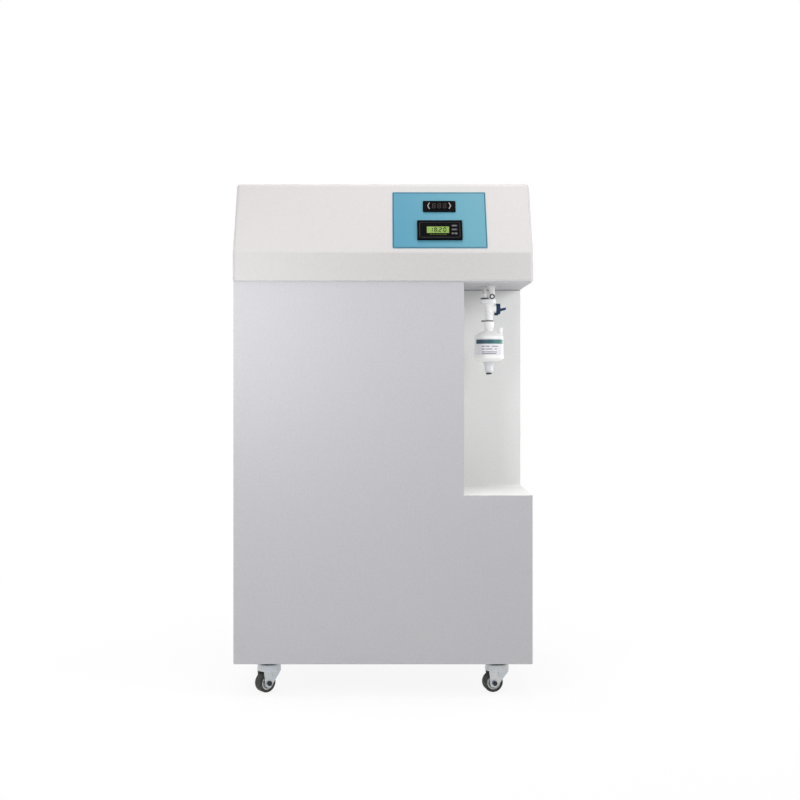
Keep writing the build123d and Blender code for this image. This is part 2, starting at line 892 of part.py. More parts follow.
def make_valve_handle():
    """The thumb-turn handle: an oval bar on the stem with a tapered blade and a stop tab."""
    start = boss_reach + fit_gap
    across = Plane(origin=(start, 0, 0), x_dir=(0, 1, 0), z_dir=(1, 0, 0))
    oval = SlotOverall(handle_bar_height, handle_bar_depth, rotation=90)
    bar = extrude(across * oval, amount=handle_bar_thickness)
    bar = fillet(bar.faces().sort_by(Axis.X)[-1].edges(), handle_fillet)
    root = across.offset(handle_bar_thickness / 2) * Pos(0, -blade_drop)
    root *= RectangleRounded(blade_root_depth, blade_root_thickness, handle_fillet)
    tip = across.offset(handle_bar_thickness + blade_length) * Pos(0, blade_lift - blade_drop)
    tip *= RectangleRounded(blade_tip_depth, blade_tip_thickness, handle_fillet)
    tab_x = (barrel_radius + stop_gap, start + handle_bar_thickness / 2)
    tab_z = (-stop_drop - stop_height / 2, -stop_drop + stop_height / 2)
    tab = block(tab_x, (-stop_depth / 2, stop_depth / 2), tab_z)
    handle = bar + loft([root, tip]) + tab
    end = start + stem_bolt_engagement
    handle -= rod((start - overrun, 0, 0), (end, 0, 0), stem_bolt_radius + running_gap)
    return Pos(outlet_x, outlet_y, valve_height) * handle


def make_capsule_shell():
    """The filter capsule: neck, domed shoulder, welded waist, dished base and a vent boss."""
    weld = capsule_top - capsule_length
    outline = [
        Polyline(
            (0, capsule_bottom),
            (0, neck_top),
            (neck_radius, neck_top),
            (neck_radius, neck_top - neck_length),
            (neck_waist_radius, neck_top - neck_length),
            (neck_waist_radius, shoulder_top),
        ),
        RadiusArc((neck_waist_radius, shoulder_top), (capsule_radius, capsule_top), shoulder_radius),
        Polyline(
            (capsule_radius, capsule_top),
            (capsule_radius, weld + weld_height),
            (weld_radius, weld + weld_height),
            (weld_radius, weld),
            (capsule_radius, weld),
        ),
        RadiusArc((capsule_radius, weld), (cone_radius, capsule_bottom), capsule_radius - cone_radius),
        Line((cone_radius, capsule_bottom), (0, capsule_bottom)),
    ]
    shell = turned(Curve() + outline)
    foot = capsule_top - shoulder_height
    boss = Pos(vent_cap_offset, 0, foot) * Cylinder(vent_boss_radius, vent_seat - foot, align=on_base)
    stem = Pos(vent_cap_offset, 0, vent_seat) * Cylinder(vent_stem_radius, vent_stem_length, align=on_base)
    return Pos(outlet_x, outlet_y, 0) * (shell + boss + stem)


def make_vent_cap():
    """The capsule's vent cap, with finger flats."""
    cap = extrude(RegularPolygon(vent_cap_radius, vent_cap_flat_count), amount=vent_cap_height)
    cap -= Cylinder(vent_stem_radius + running_gap, vent_stem_length, align=on_base)
    return Pos(vent_x, outlet_y, vent_seat + fit_gap) * cap


def make_outlet_nozzle():
    """The nozzle under the capsule: a cone, a grip and a grooved tip with its bore."""
    groove = tip_radius - tip_groove_depth
    outline = Polyline(
        (tip_bore_radius, nozzle_top),
        (tip_bore_radius, tip_end),
        (tip_radius, tip_end),
        (tip_radius, ring_top - tip_groove_width),
        (groove, ring_top - tip_groove_width),
        (groove, ring_top),
        (tip_radius, ring_top),
        (tip_radius, tip_top),
        (nozzle_radius, tip_top),
        (nozzle_radius, nozzle_top),
        (cone_radius, capsule_bottom),
        (0, capsule_bottom),
        (0, nozzle_top),
        close=True,
    )
    return Pos(outlet_x, outlet_y, 0) * turned(outline)


# Rear fittings

def make_port_fittings():
    """The feed and drain bulkhead fittings, each with its lock nut."""
    outer = hexagon(port_flange_radius, port_flange) + Cylinder(port_body_radius, port_reach, align=on_base)
    inner = Cylinder(port_thread_radius, sheet + port_inner, align=hung)
    body = outer + inner
    body -= Pos(0, 0, port_reach) * Cylinder(port_bore_radius, port_bore_depth, align=hung)
    nut = hexagon(port_nut_radius, port_nut) - Cylinder(port_thread_radius + running_gap, 2 * port_nut)
    nut = Pos(0, 0, -sheet - port_nut) * nut
    places = [Pos(x, rear_face, port_z) * Rot(X=-90) for x in port_x.values()]
    return group(place * shape for place in places for shape in (body, nut))


def inlet_plane():
    """The power inlet's plane on the rear face, with its Z axis outward and its Y axis up."""
    return Plane(origin=(inlet_x, rear_face, inlet_z), x_dir=(-1, 0, 0), z_dir=(0, 1, 0))


def make_power_inlet():
    """The mains inlet: a flanged module with a three-pin socket below and the switch's well above."""
    flange = extrude(RectangleRounded(inlet_width, inlet_height, inlet_radius), amount=inlet_flange)
    body = Box(inlet_width - 2 * inlet_step, inlet_height - 2 * inlet_step, inlet_depth, align=hung)
    form = flange + body
    mouth = Rectangle(socket_width, socket_tall)
    upper = mouth.vertices().sort_by(Axis.Y)[2:]
    mouth = Pos(0, -socket_drop) * chamfer(upper, socket_cut)
    form -= Pos(0, 0, inlet_flange) * extrude(mouth, amount=-socket_depth)
    floor = inlet_flange - socket_depth
    for x, y in ((-pin_spread, -pin_offset), (pin_spread, -pin_offset), (0, pin_offset)):
        form += Pos(x, y - socket_drop, floor) * Box(pin_width, pin_tall, pin_length, align=on_base)
    well_width = rocker_width + 2 * fit_gap
    well = rod((-well_width / 2, rocker_rise, inlet_flange - rocker_face),
               (well_width / 2, rocker_rise, inlet_flange - rocker_face), rocker_radius + fit_gap)
    return inlet_plane() * (form - well)


def make_power_rocker():
    """The rocker switch: a drum with two faces that meet over its pivot, resting at off."""
    drum = rod((-rocker_width / 2, 0, 0), (rocker_width / 2, 0, 0), rocker_radius)
    reach = 2 * rocker_radius
    cutter = Pos(0, 0, rocker_face) * Box(reach, reach, reach, align=(Align.CENTER, Align.MIN, Align.MIN))
    pivot = Pos(0, 0, rocker_face)
    upper = pivot * Rot(X=rocker_tilt_angle) * pivot.inverse() * cutter
    lower = Rot(Z=180) * upper
    rocker = Rot(X=rocker_tilt_angle) * (drum - upper - lower)
    return inlet_plane() * Pos(0, rocker_rise, inlet_flange - rocker_face) * rocker


# Water treatment inside

def make_prefilter_heads():
    """The three prefilter heads under the shelf, with stubs that join them in a row."""
    heads = []
    last = prefilter_count - 1
    for i, x in enumerate(prefilter_x):
        centre = (x, prefilter_y, prefilter_port)
        reach = prefilter_head_radius + prefilter_stub
        left = (x - reach, prefilter_y, prefilter_port)
        right = (x + reach, prefilter_y, prefilter_port)
        back = (x, prefilter_y + reach, prefilter_port)
        front = (x, prefilter_y - reach, prefilter_port)
        form = Cylinder(prefilter_head_radius, prefilter_head_height, align=hung)
        form = fillet(form.edges().sort_by(Axis.Z)[0], bend_radius)
        head = Pos(x, prefilter_y, prefilter_top) * form
        head += rod(centre, back if i == 0 else left, prefilter_stub_radius)
        head += rod(centre, front if i == last else right, prefilter_stub_radius)
        heads.append(head)
    return group(heads)


def make_prefilter_cartridges():
    """The three quick-change prefilter cartridges that hang from their heads."""
    top = prefilter_top - prefilter_head_height
    low = tray_floor + prefilter_floor_gap
    flat = prefilter_radius - prefilter_dome
    outline = [
        Polyline(
            (0, low),
            (0, top),
            (prefilter_collar_radius, top),
            (prefilter_collar_radius, top - prefilter_collar),
            (prefilter_radius, top - 2 * prefilter_collar),
            (prefilter_radius, low + prefilter_dome),
        ),
        RadiusArc((prefilter_radius, low + prefilter_dome), (flat, low), prefilter_dome),
        Line((flat, low), (0, low)),
    ]
    cartridge = turned(Curve() + outline)
    return group(Pos(x, prefilter_y, 0) * cartridge for x in prefilter_x)


def make_pump_head():
    """The booster pump's head with its two upright ports."""
    x_span = (ro_x - pump_head_length / 2, ro_x + pump_head_length / 2)
    y_span = (pump_y - pump_head_depth / 2, pump_y + pump_head_depth / 2)
    head = block(x_span, y_span, (pump_z - pump_head_height / 2, pump_z + pump_head_height / 2))
    head = fillet(head.edges().filter_by(Axis.X), pump_head_fillet)
    for y in (pump_inlet_y, pump_outlet_y):
        head += rod((ro_x, y, pump_z), (ro_x, y, pump_port_top), pump_port_radius)
    return head


def make_pump_motor():
    """The pump's motor on its saddle and foot plate."""
    start = ro_x + pump_head_length / 2
    motor = rod((start, pump_y, pump_z), (start + motor_length, pump_y, pump_z), motor_radius)
    motor = fillet(motor.edges().filter_by(GeomType.CIRCLE).sort_by(Axis.X)[-1], motor_fillet)
    middle = start + motor_length / 2
    low = tray_floor + foot_height
    x_span = (middle - motor_foot_length / 2, middle + motor_foot_length / 2)
    y_span = (pump_y - motor_foot_depth / 2, pump_y + motor_foot_depth / 2)
    foot = block(x_span, y_span, (low, low + motor_foot))
    saddle_x = (middle - motor_saddle_width, middle + motor_saddle_width)
    saddle_y = (pump_y - motor_saddle_width / 2, pump_y + motor_saddle_width / 2)
    return motor + foot + block(saddle_x, saddle_y, (low, pump_z))


def make_pump_feet():
    """The rubber feet between the motor's foot plate and the tray."""
    middle = ro_x + pump_head_length / 2 + motor_length / 2
    x = motor_foot_length / 2 - foot_margin
    y = motor_foot_depth / 2 - foot_margin
    foot = Cylinder(foot_radius, foot_height, align=on_base)
    corners = [(-x, -y), (x, -y), (-x, y), (x, y)]
    return group(Pos(middle + dx, pump_y + dy, tray_floor) * foot for dx, dy in corners)


def make_ro_housing():
    """The reverse-osmosis housing: a tube with two ribbed caps and its ports."""
    top = shelf_height + ro_height
    rib = ro_cap_height / 4
    tube_body = Pos(0, 0, shelf_height) * Cylinder(ro_radius, ro_height, align=on_base)
    housing = tube_body
    for low in (shelf_height, top - ro_cap_height):
        for i in (0, 2):
            housing += Pos(0, 0, low + i * rib) * Cylinder(ro_cap_radius, rib, align=on_base)
        housing += Pos(0, 0, low) * Cylinder((ro_radius + ro_cap_radius) / 2, ro_cap_height, align=on_base)
    housing += Pos(0, 0, ro_lower_end) * Cylinder(ro_stub_radius, ro_height + 2 * ro_stub, align=on_base)
    housing += Pos(0, ro_brine_offset, ro_lower_end) * Cylinder(ro_stub_radius, 2 * ro_stub, align=on_base)
    return Pos(ro_x, ro_y, 0) * housing


def make_di_cartridges():
    """The two deionising cartridges on the shelf, with three ports in each cap."""
    body = Cylinder(di_radius, di_height, align=on_base)
    for low in (0, di_height - di_cap_height):
        body += Pos(0, 0, low) * Cylinder(di_cap_radius, di_cap_height, align=on_base)
    body = fillet(body.edges().sort_by(Axis.Z)[-1], di_fillet)
    for y in (-di_port_offset, 0, di_port_offset):
        body += Pos(0, y, di_height) * Cylinder(di_stub_radius, di_stub, align=on_base)
    return group(Pos(x, di_y, shelf_height) * body for x in di_x)


def make_solenoid_valve():
    """The drain solenoid: a bracketed body with a coil on top and a port at each end."""
    half = solenoid_length / 2
    low = port_z - solenoid_height / 2
    x_span = (-solenoid_width / 2, solenoid_width / 2)
    body = block(x_span, (-half / 2, half / 2), (low, low + solenoid_height))
    body += rod((0, -half, port_z), (0, half, port_z), ro_stub_radius)
    coil = Cylinder(solenoid_coil_radius, solenoid_coil_height, align=on_base)
    body += Pos(0, 0, low + solenoid_height) * coil
    body += block(x_span, (-half / 2, -half / 2 + solenoid_foot), (tray_floor, low))
    body += block(x_span, (-half / 2, half / 2), (tray_floor, tray_floor + solenoid_foot))
    return Pos(ro_x, solenoid_y, 0) * body


def make_inner_tubing():
    """The tubing from the feed fitting to the deionising cartridges, and to the drain."""
    stub_reach = prefilter_head_radius + prefilter_stub
    feed_x = port_x["feed"]
    feed_y = prefilter_y + stub_reach
    riser_y = (port_inner_end + feed_y) / 2
    feed = [
        (feed_x, port_inner_end, port_z),
        (feed_x, riser_y, port_z),
        (feed_x, riser_y, prefilter_port),
        (feed_x, feed_y, prefilter_port),
    ]
    suction = [
        (prefilter_x[-1], prefilter_y - stub_reach, prefilter_port),
        (prefilter_x[-1], pump_inlet_y, prefilter_port),
        (ro_x, pump_inlet_y, prefilter_port),
        (ro_x, pump_inlet_y, pump_port_top),
    ]
    pressure = [(ro_x, pump_outlet_y, pump_port_top), (ro_x, ro_y, ro_lower_end)]
    brine = [
        (ro_x, ro_brine_y, ro_lower_end),
        (ro_x, ro_brine_y, port_z),
        (ro_x, solenoid_y - solenoid_length / 2, port_z),
    ]
    drain = [(ro_x, solenoid_y + solenoid_length / 2, port_z), (port_x["drain"], port_inner_end, port_z)]
    permeate = [
        (ro_x, ro_y, ro_upper_end),
        (ro_x, ro_y, upper_run),
        (di_x[0], di_inlet_y, upper_run),
        (di_x[0], di_inlet_y, di_upper_end),
    ]
    link = [
        (di_x[0], di_outlet_y, di_upper_end),
        (di_x[0], di_outlet_y, upper_run),
        (di_x[-1], di_inlet_y, upper_run),
        (di_x[-1], di_inlet_y, di_upper_end),
    ]
    short_bend = upper_run_drop / 2
    wide = [feed, suction, pressure, brine, drain]
    tubes = [tube(points, tubing_radius, short_bend if points is feed else tubing_bend) for points in wide]
    return group(tubes + [tube(points, tubing_radius, short_bend) for points in (permeate, link)])


# Electrics on the deck

def make_power_supply():
    """The boxed power supply with slots in its lid."""
    box = Box(supply_box_width, supply_box_length, supply_box_height, align=on_base)
    box = fillet(box.edges().filter_by(Axis.Z), bend_radius)
    for row in range(supply_slot_rows):
        y = (row - (supply_slot_rows - 1) / 2) * supply_slot_pitch
        slot = Rectangle(supply_slot_width, supply_slot_height)
        box -= Pos(0, y, supply_box_height) * extrude(slot, amount=-supply_slot_depth)
    return Pos(-half_width + supply_box_inset_x, front_face + supply_box_inset_y, deck_floor) * box


def make_control_board():
    """The control board on its posts, with a row of relays and a terminal strip."""
    board = Pos(0, 0, board_rise) * Box(board_width, board_depth, board_thickness, align=on_base)
    x = board_width / 2 - board_post_margin
    y = board_depth / 2 - board_post_margin
    for corner in ((-x, -y), (x, -y), (-x, y), (x, y)):
        board += Pos(*corner, 0) * Cylinder(board_post_radius, board_rise, align=on_base)
    top = board_rise + board_thickness
    for i in range(relay_count):
        shift = (i - (relay_count - 1) / 2) * relay_pitch
        board += Pos(shift, 0, top) * Box(relay_width, relay_depth, relay_height, align=on_base)
    strip_y = board_depth / 2 - terminal_depth
    board += Pos(0, strip_y, top) * Box(terminal_width, terminal_depth, terminal_height, align=on_base)
    return Pos(board_x, rear_face - board_inset_y, deck_floor) * board


# Castors

def castor_bolt_places():
    """Every castor bolt's X and Y."""
    pitch = plate_hole_pitch / 2
    corners = [(-pitch, -pitch), (pitch, -pitch), (-pitch, pitch), (pitch, pitch)]
    return [(x + dx, y + dy) for x, y in castor_places.values() for dx, dy in corners]


def make_castor_plates():
    """The top plates, each with its race and riveted kingpin."""
    low = castor_height - plate_thickness
    form = RectangleRounded(plate_size, plate_size, plate_corner)
    pitch = plate_hole_pitch / 2
    for dx, dy in ((-pitch, -pitch), (pitch, -pitch), (-pitch, pitch), (pitch, pitch)):
        form -= Pos(dx, dy) * Circle(castor_bolt_radius + running_gap)
    plate = Pos(0, 0, low) * extrude(form, amount=plate_thickness)
    plate += Pos(0, 0, low) * Cone(crown_top_radius, race_radius, race_height, align=hung)
    seat = crown_top - fork_sheet - crown_gap
    plate += Pos(0, 0, low) * Cylinder(kingpin_radius, low - seat, align=hung)
    head = Pos(0, 0, seat) * Cylinder(kingpin_head_radius, kingpin_head, align=hung)
    plate += fillet(head.edges().sort_by(Axis.Z)[0], kingpin_head / 2)
    return group(Pos(x, y, 0) * plate for x, y in castor_places.values())


def make_castor_bolts():
    """The bolts that hold the castor plates to the tray, with their nuts."""
    low = castor_height - plate_thickness
    head = Pos(0, 0, low - castor_bolt_head) * hexagon(castor_bolt_head_radius, castor_bolt_head)
    shank = Pos(0, 0, low) * Cylinder(castor_bolt_radius, tray_floor - low, align=on_base)
    nut = Pos(0, 0, tray_floor) * hexagon(castor_bolt_head_radius, castor_bolt_head)
    bolt = head + shank + nut
    return group(Pos(x, y, 0) * bolt for x, y in castor_bolt_places())


def make_castor_fork():
    """A pressed fork about its swivel axis: a dished crown and two ribbed, tapered legs that trail towards -X."""
    crown = Pos(0, 0, crown_top) * Cone(crown_radius, crown_top_radius, crown_height, align=hung)
    inside = Pos(0, 0, crown_top - fork_sheet) * Cone(
        crown_radius - fork_sheet, crown_top_radius - fork_sheet, crown_height, align=hung)
    side = Plane(origin=(0, leg_outer, 0), x_dir=(1, 0, 0), z_dir=(0, -1, 0))
    tip = Pos(-castor_trail, axle_height) * Circle(leg_tip_radius)
    top = panel((-leg_half_width, leg_half_width), (crown_bottom - fork_sheet, crown_bottom))
    leg = extrude(side * make_hull((tip + top).edges()), amount=fork_sheet)
    cap = panel((-leg_half_width, leg_half_width), (crown_bottom, crown_top))
    leg += crown & extrude(side * cap, amount=fork_sheet)
    pad_end = (-castor_trail, leg_outer + leg_pad, axle_height)
    leg += rod((-castor_trail, leg_outer, axle_height), pad_end, leg_pad_radius)
    rib_top = crown_bottom - fork_sheet
    leg += rod((0, leg_outer, rib_top - leg_rib_length), (0, leg_outer, rib_top), leg_rib_radius)
    fork = crown - inside + leg + mirror(leg, about=Plane.XZ)
    fork -= Pos(0, 0, crown_top) * Cylinder(kingpin_radius + running_gap, 2 * crown_height)
    reach = leg_outer + overrun
    ends = [(-castor_trail, side * reach, axle_height) for side in (-1, 1)]
    return fork - rod(*ends, axle_radius + running_gap)


def make_castor_axle():
    """The axle bolt across the fork, with its head and nut."""
    end = leg_outer + leg_pad
    bolt = rod((0, -end, 0), (0, end, 0), axle_radius)
    head = Pos(0, -end, 0) * Rot(X=90) * hexagon(axle_head_radius, axle_head)
    nut = Pos(0, end, 0) * Rot(X=-90) * hexagon(axle_head_radius, axle_head)
    return Pos(-castor_trail, 0, axle_height) * (bolt + head + nut)


def make_wheel_core():
    """The moulded wheel: hub, web and rim about its axle."""
    rim = wheel_radius - tyre_thickness
    hub = leg_inner - fit_gap
    outline = Polyline(
        (axle_radius + running_gap, -hub),
        (hub_radius, -hub),
        (hub_radius, -web_width / 2),
        (rim - rim_thickness, -web_width / 2),
        (rim - rim_thickness, -rim_width / 2),
        (rim, -rim_width / 2),
        (rim, rim_width / 2),
        (rim - rim_thickness, rim_width / 2),
        (rim - rim_thickness, web_width / 2),
        (hub_radius, web_width / 2),
        (hub_radius, hub),
        (axle_radius + running_gap, hub),
        close=True,
    )
    return Pos(-castor_trail, 0, axle_height) * Rot(X=90) * turned(outline)


def make_tyre():
    """The rubber tyre on the wheel's rim, with rounded shoulders."""
    rim = wheel_radius - tyre_thickness
    tyre = extrude(Circle(wheel_radius) - Circle(rim + running_gap), amount=wheel_width / 2, both=True)
    tyre = fillet(outer_rims(tyre), tyre_shoulder)
    return Pos(-castor_trail, 0, axle_height) * Rot(X=90) * tyre


def make_castors():
    """The turning pieces of the four castors at their resting headings."""
    pieces = {
        "castor_fork": make_castor_fork(),
        "castor_axle": make_castor_axle(),
        "castor_wheel": make_wheel_core(),
        "castor_tyre": make_tyre(),
    }
    placed = {}
    for corner, (x, y) in castor_places.items():
        for name, shape in pieces.items():
            placed[f"{name}_{corner}"] = Pos(x, y, 0) * Rot(Z=castor_yaw_angles[corner]) * shape
    return placed


# The whole part

def make_parts():
    """Every node's shape by name."""
    parts = {
        "base_tray": make_base_tray(),
        "left_side_panel": make_left_side_panel(),
        "right_side_panel": make_right_side_panel(),
        "front_panel": make_front_panel(),
        "rear_panel": make_rear_panel(),
        "bay_liner": make_bay_liner(),
        "top_deck": make_top_deck(),
        "equipment_shelf": make_equipment_shelf(),
        "panel_screws": make_panel_screws(),
        "hood": make_hood(),
        "fascia_label": make_fascia_label(),
        "upper_meter_case": make_upper_meter_case(),
        "upper_meter_window": make_upper_meter_window(),
        "lower_meter_case": make_lower_meter_case(),
        "lower_meter_display": make_lower_meter_display(),
        "loop_tubes": make_loop_tubes(),
        "outlet_manifold": make_outlet_manifold(),
        "seal_rings": make_seal_rings(),
        "lock_clips": make_lock_clips(),
        "valve_body": make_valve_body(),
        "valve_ball": make_valve_ball(),
        "valve_handle": make_valve_handle(),
        "capsule_shell": make_capsule_shell(),
        "vent_cap": make_vent_cap(),
        "outlet_nozzle": make_outlet_nozzle(),
        "port_fittings": make_port_fittings(),
        "power_inlet": make_power_inlet(),
        "power_rocker": make_power_rocker(),
        "prefilter_heads": make_prefilter_heads(),
        "prefilter_cartridges": make_prefilter_cartridges(),
        "pump_head": make_pump_head(),
        "pump_motor": make_pump_motor(),
        "pump_feet": make_pump_feet(),
        "ro_housing": make_ro_housing(),
        "di_cartridges": make_di_cartridges(),
        "solenoid_valve": make_solenoid_valve(),
        "inner_tubing": make_inner_tubing(),
        "power_supply": make_power_supply(),
        "control_board": make_control_board(),
        "castor_plates": make_castor_plates(),
        "castor_bolts": make_castor_bolts(),
    }
    return parts | make_meter_keys() | make_castors()


def main():
    """Write one STEP file for each node."""
    os.makedirs("parts", exist_ok=True)
    for name, shape in make_parts().items():
        export_step(shape, f"parts/{name}.step")


if __name__ == "__main__":
    main()
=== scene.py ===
import json
import math

import bmesh
import bpy
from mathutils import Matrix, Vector


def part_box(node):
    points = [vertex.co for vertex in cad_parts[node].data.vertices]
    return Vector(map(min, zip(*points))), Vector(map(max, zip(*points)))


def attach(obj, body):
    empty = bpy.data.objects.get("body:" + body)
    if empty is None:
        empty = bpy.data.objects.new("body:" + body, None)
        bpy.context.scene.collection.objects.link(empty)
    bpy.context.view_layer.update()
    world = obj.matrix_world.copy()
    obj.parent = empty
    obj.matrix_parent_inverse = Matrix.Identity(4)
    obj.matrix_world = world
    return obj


# Looks of a floor-standing laboratory water purifier.
# Lengths are in metres, or in millimetres where a table's name ends in MM.

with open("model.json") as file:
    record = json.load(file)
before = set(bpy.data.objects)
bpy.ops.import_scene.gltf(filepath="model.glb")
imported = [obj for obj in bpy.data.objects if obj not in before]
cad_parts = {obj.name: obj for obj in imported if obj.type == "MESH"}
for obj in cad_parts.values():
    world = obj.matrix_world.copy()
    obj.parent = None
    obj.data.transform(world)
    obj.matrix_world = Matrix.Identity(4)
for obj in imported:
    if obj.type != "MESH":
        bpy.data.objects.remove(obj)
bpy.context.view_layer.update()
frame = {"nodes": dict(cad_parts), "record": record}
nodes = frame["nodes"]
finishes = {}
CABINET = "cabinet"
CORNERS = ("front_left", "front_right", "rear_left", "rear_right")
MM = 0.001
FULL_TURN = math.radians(360)

# Camera: level, straight on, at the height where the photo's horizon lies
FRONT_Y = -0.270
CAMERA_DISTANCE = 2.330
CAMERA_HEIGHT = 0.6775
CAMERA_LENS = 49.8
CAMERA_SENSOR = 36.0
CAMERA_SHIFT = (0.02125, -0.03)

# Prints: their thickness, and how far they stand off the face that carries them
PRINT = 0.00012
PRINT_LIFT = 0.00004

# The hood's slope, the fascia on it, and the line printed along the fascia's edge
HOOD_FRONT = -0.272
BAND_TOP = 0.937
SLOPE = math.radians(25)
FASCIA_X = 0.1205
FASCIA_RISE = 0.081
FASCIA_SIZE = (0.201, 0.141)
FASCIA_FACE = 0.0008
FASCIA_INSET = 0.003
FASCIA_LINE = 0.0013
# The span over which the fascia runs from darker to lighter blue, a painted light gradient
FASCIA_RAMP = (FASCIA_X - 0.08, FASCIA_X + 0.08)
FRAME_CORNER = 0.002

# The upper meter: three digits between two painted highlights, bracket-shaped strokes where the window's end
# facets glint
UPPER_RISE = 0.1142
UPPER_FACE = 0.0046
UPPER_DIGITS = {"text": "888", "height": 0.0116, "line": 0.0017, "pitch": 0.0116, "slant": 0.08}
WINDOW_GLINT = {"reach": 0.0220, "lean": 0.0036, "height": 0.0154, "line": 0.0020}

# The lower meter: a border, a display with digits over a row of dashes, and three keys
LOWER_RISE = 0.0538
LOWER_FACE = 0.0045
LOWER_FACE_SIZE = (0.0866, 0.0386)
BORDER_INSET = 0.0006
BORDER_LINE = 0.0008
DISPLAY_X = -0.004
LOWER_DIGITS = {"text": "1820", "height": 0.0098, "line": 0.0021, "pitch": 0.0096, "slant": 0.06}
POINT_Y = -0.0050
POINT_SIZE = 0.0018
DASH_Y = -0.0118
DASH_SIZE = (0.0045, 0.0012)
DASH_PLACES_MM = (-14.5, -8.5, -2.0, 4.5, 10.5, 15.8)

# The keys' dashes: place and width of each, a row for each key
KEY_X = 0.031
KEY_PITCH = 0.0096
KEY_FACE = 0.0057
KEY_DASH_HEIGHT = 0.0017
KEY_DASHES_MM = (
    ((-3.0, 2.8), (0.2, 2.4), (3.2, 2.4)),
    ((-2.4, 3.6), (2.3, 3.8)),
    ((-3.6, 2.4), (3.3, 3.0)),
)
KEY_INKS = ("print_key", "print_key", "pale_print_and_glint")

# Seven-segment digits: the bars that each shows, its width over its height, and a bar's end gap over its line
SEGMENTS = {"0": "abcdef", "1": "bc", "2": "abged", "8": "abcdefg"}
DIGIT_WIDTH = 0.5
DIGIT_GAP = 0.2

# The capsule that carries a wrapped label: the paper, its band and its lines
OUTLET = (0.233, -0.165)
CAPSULE_RADIUS = 0.032
LABEL_SPAN = (0.7235, 0.7605)
LABEL_HALF = math.radians(78)
LABEL_STEPS = 40
BAND_SPAN = (0.7477, 0.7570)
BAND_HALF = math.radians(64)
BAND_STEPS = 34
BAND_RAMP = (OUTLET[0] - 0.010, OUTLET[0] + 0.026)
STROKE_HEIGHT = 0.0016
# Each line's height in metres, and its strokes' starts and ends in millimetres round the capsule
LABEL_LINES = (
    (0.7413, (-19.5, -12.5, -10.5, -1.5, 3.5, 18.0)),
    (0.7354, (-20.0, -12.0, -10.0, 4.5, 9.0, 15.5)),
    (0.7290, (-19.0, -10.0, -9.0, 15.5)),
    (0.7252, (-18.5, 14.0)),
)

# The power inlet at the rear: the rocker's fold at rest, its raised face's tilt, its two marks, and the pins
ROCKER_FOLD = (0.125, 0.252956, 0.196584)
ROCKER_TILT = math.radians(24)
MARK_REACH = 0.0046
MARK_LINE = 0.0008
MARK_HEIGHT = 0.0042
MARK_RADIUS = 0.0021
MARK_STEPS = 20
PIN_PLACES = ((0.118, 0.163), (0.132, 0.163), (0.125, 0.167))
PIN_SIZE = (0.00212, 0.00412)
PIN_SPAN = (0.2342, 0.24706)
PIN_CHAMFER = 0.0005

# The castors' cups: radius, and height over the fork's crown, round the wall
CUP_STEPS = 64
CUP_SHARP = math.radians(50)
CUP_PROFILE_MM = (
    (25.2, -4.8), (25.7, -4.0), (25.6, -2.0), (25.2, 2.0), (24.7, 6.0), (24.4, 8.0), (23.9, 9.1),
    (23.3, 9.4), (22.8, 9.0), (22.7, 7.8), (23.0, 5.8), (23.5, 2.0), (23.9, -2.0), (24.0, -4.8),
)

# The bay under the deck, and the bead along its top
BAY_LEFT = 0.1705
BAY_SIDE = 0.3135
BAY_BACK = -0.061
BAY_FRONT = -0.250
DECK = 0.875
BEAD = 0.0018
BEAD_STEPS = 5

# Surfaces: the depth of fine relief, the reach of the edge tint in from an edge, a powder coat's grains in a
# metre and their shade, the stretch of drawing lines, and the height below which the castors' races carry
# painted shade
RELIEF = 0.0002
EDGE_TINT_REACH = 0.0015
SPECK_SCALE = 230.0
SPECK_SHADE = 0.5
DRAWING_STRETCH = (1.0, 1.0, 14.0)
PAINTED_SHADE_TOP = 0.0685

# The floor: its size and tone, the share of plain white under the object, and where that grows to one
FLOOR_SIZE = 14.0
FLOOR_CELLS = 8
FLOOR_TONE = (0.92, 0.92, 0.92, 1.0)
FLOOR_ROUGHNESS = 0.9
FLOOR_WHITE = 0.88
FLOOR_FADE = (0.45, 1.7)

# The backdrop's light
SOFT_WHITE = (1.0, 0.995, 0.99, 1.0)
SOFT_STRENGTH = 0.225
PURE_WHITE = (1.0, 1.0, 1.0, 1.0)

# Lamps: name, place, the point that it faces, size, power and colour
WARM = (1.0, 0.985, 0.97)
COOL = (0.99, 0.99, 1.0)
COOLER = (0.98, 0.99, 1.0)
LAMPS = (
    ("top", (0.15, -0.4, 2.6), (0.05, -0.1, 0.9), 1.0, 24.5, WARM),
    ("left", (-0.5, -1.1, 0.9), (-0.15, -0.27, 0.75), 0.5, 5.8, COOL),
    ("right", (0.9, -0.75, 1.05), (0.25, -0.08, 0.72), 0.4, 4.5, COOLER),
    ("rear", (-0.5, 1.9, 1.5), (0.0, 0.2, 0.6), 1.2, 21.0, COOL),
    ("side_left", (-2.1, 0.40, 1.1), (-0.3, 0.0, 0.6), 1.0, 14.0, COOL),
    ("side_right", (2.0, 0.75, 1.1), (0.3, 0.10, 0.6), 1.0, 13.0, COOL),
)


# Colours and shader nodes

def srgb(colour):
    """Linear colour of an 8-bit sRGB one."""
    def linear(value):
        share = value / 255
        return share / 12.92 if share <= 0.04045 else ((share + 0.055) / 1.055) ** 2.4
    return tuple(linear(value) for value in colour) + (1.0,)


def scaled(colour, factor):
    """A linear colour made lighter or darker."""
    return tuple(min(1.0, channel * factor) for channel in colour[:3]) + (1.0,)


def shader(name):
    """A new node material, kept by its name: its node tree, its shader and object coordinates."""
    material = bpy.data.materials.new(name)
    material.use_nodes = True
    finishes[name] = material
    tree = material.node_tree
    place = tree.nodes.new("ShaderNodeTexCoord")
    return tree, tree.nodes["Principled BSDF"], place.outputs["Object"]


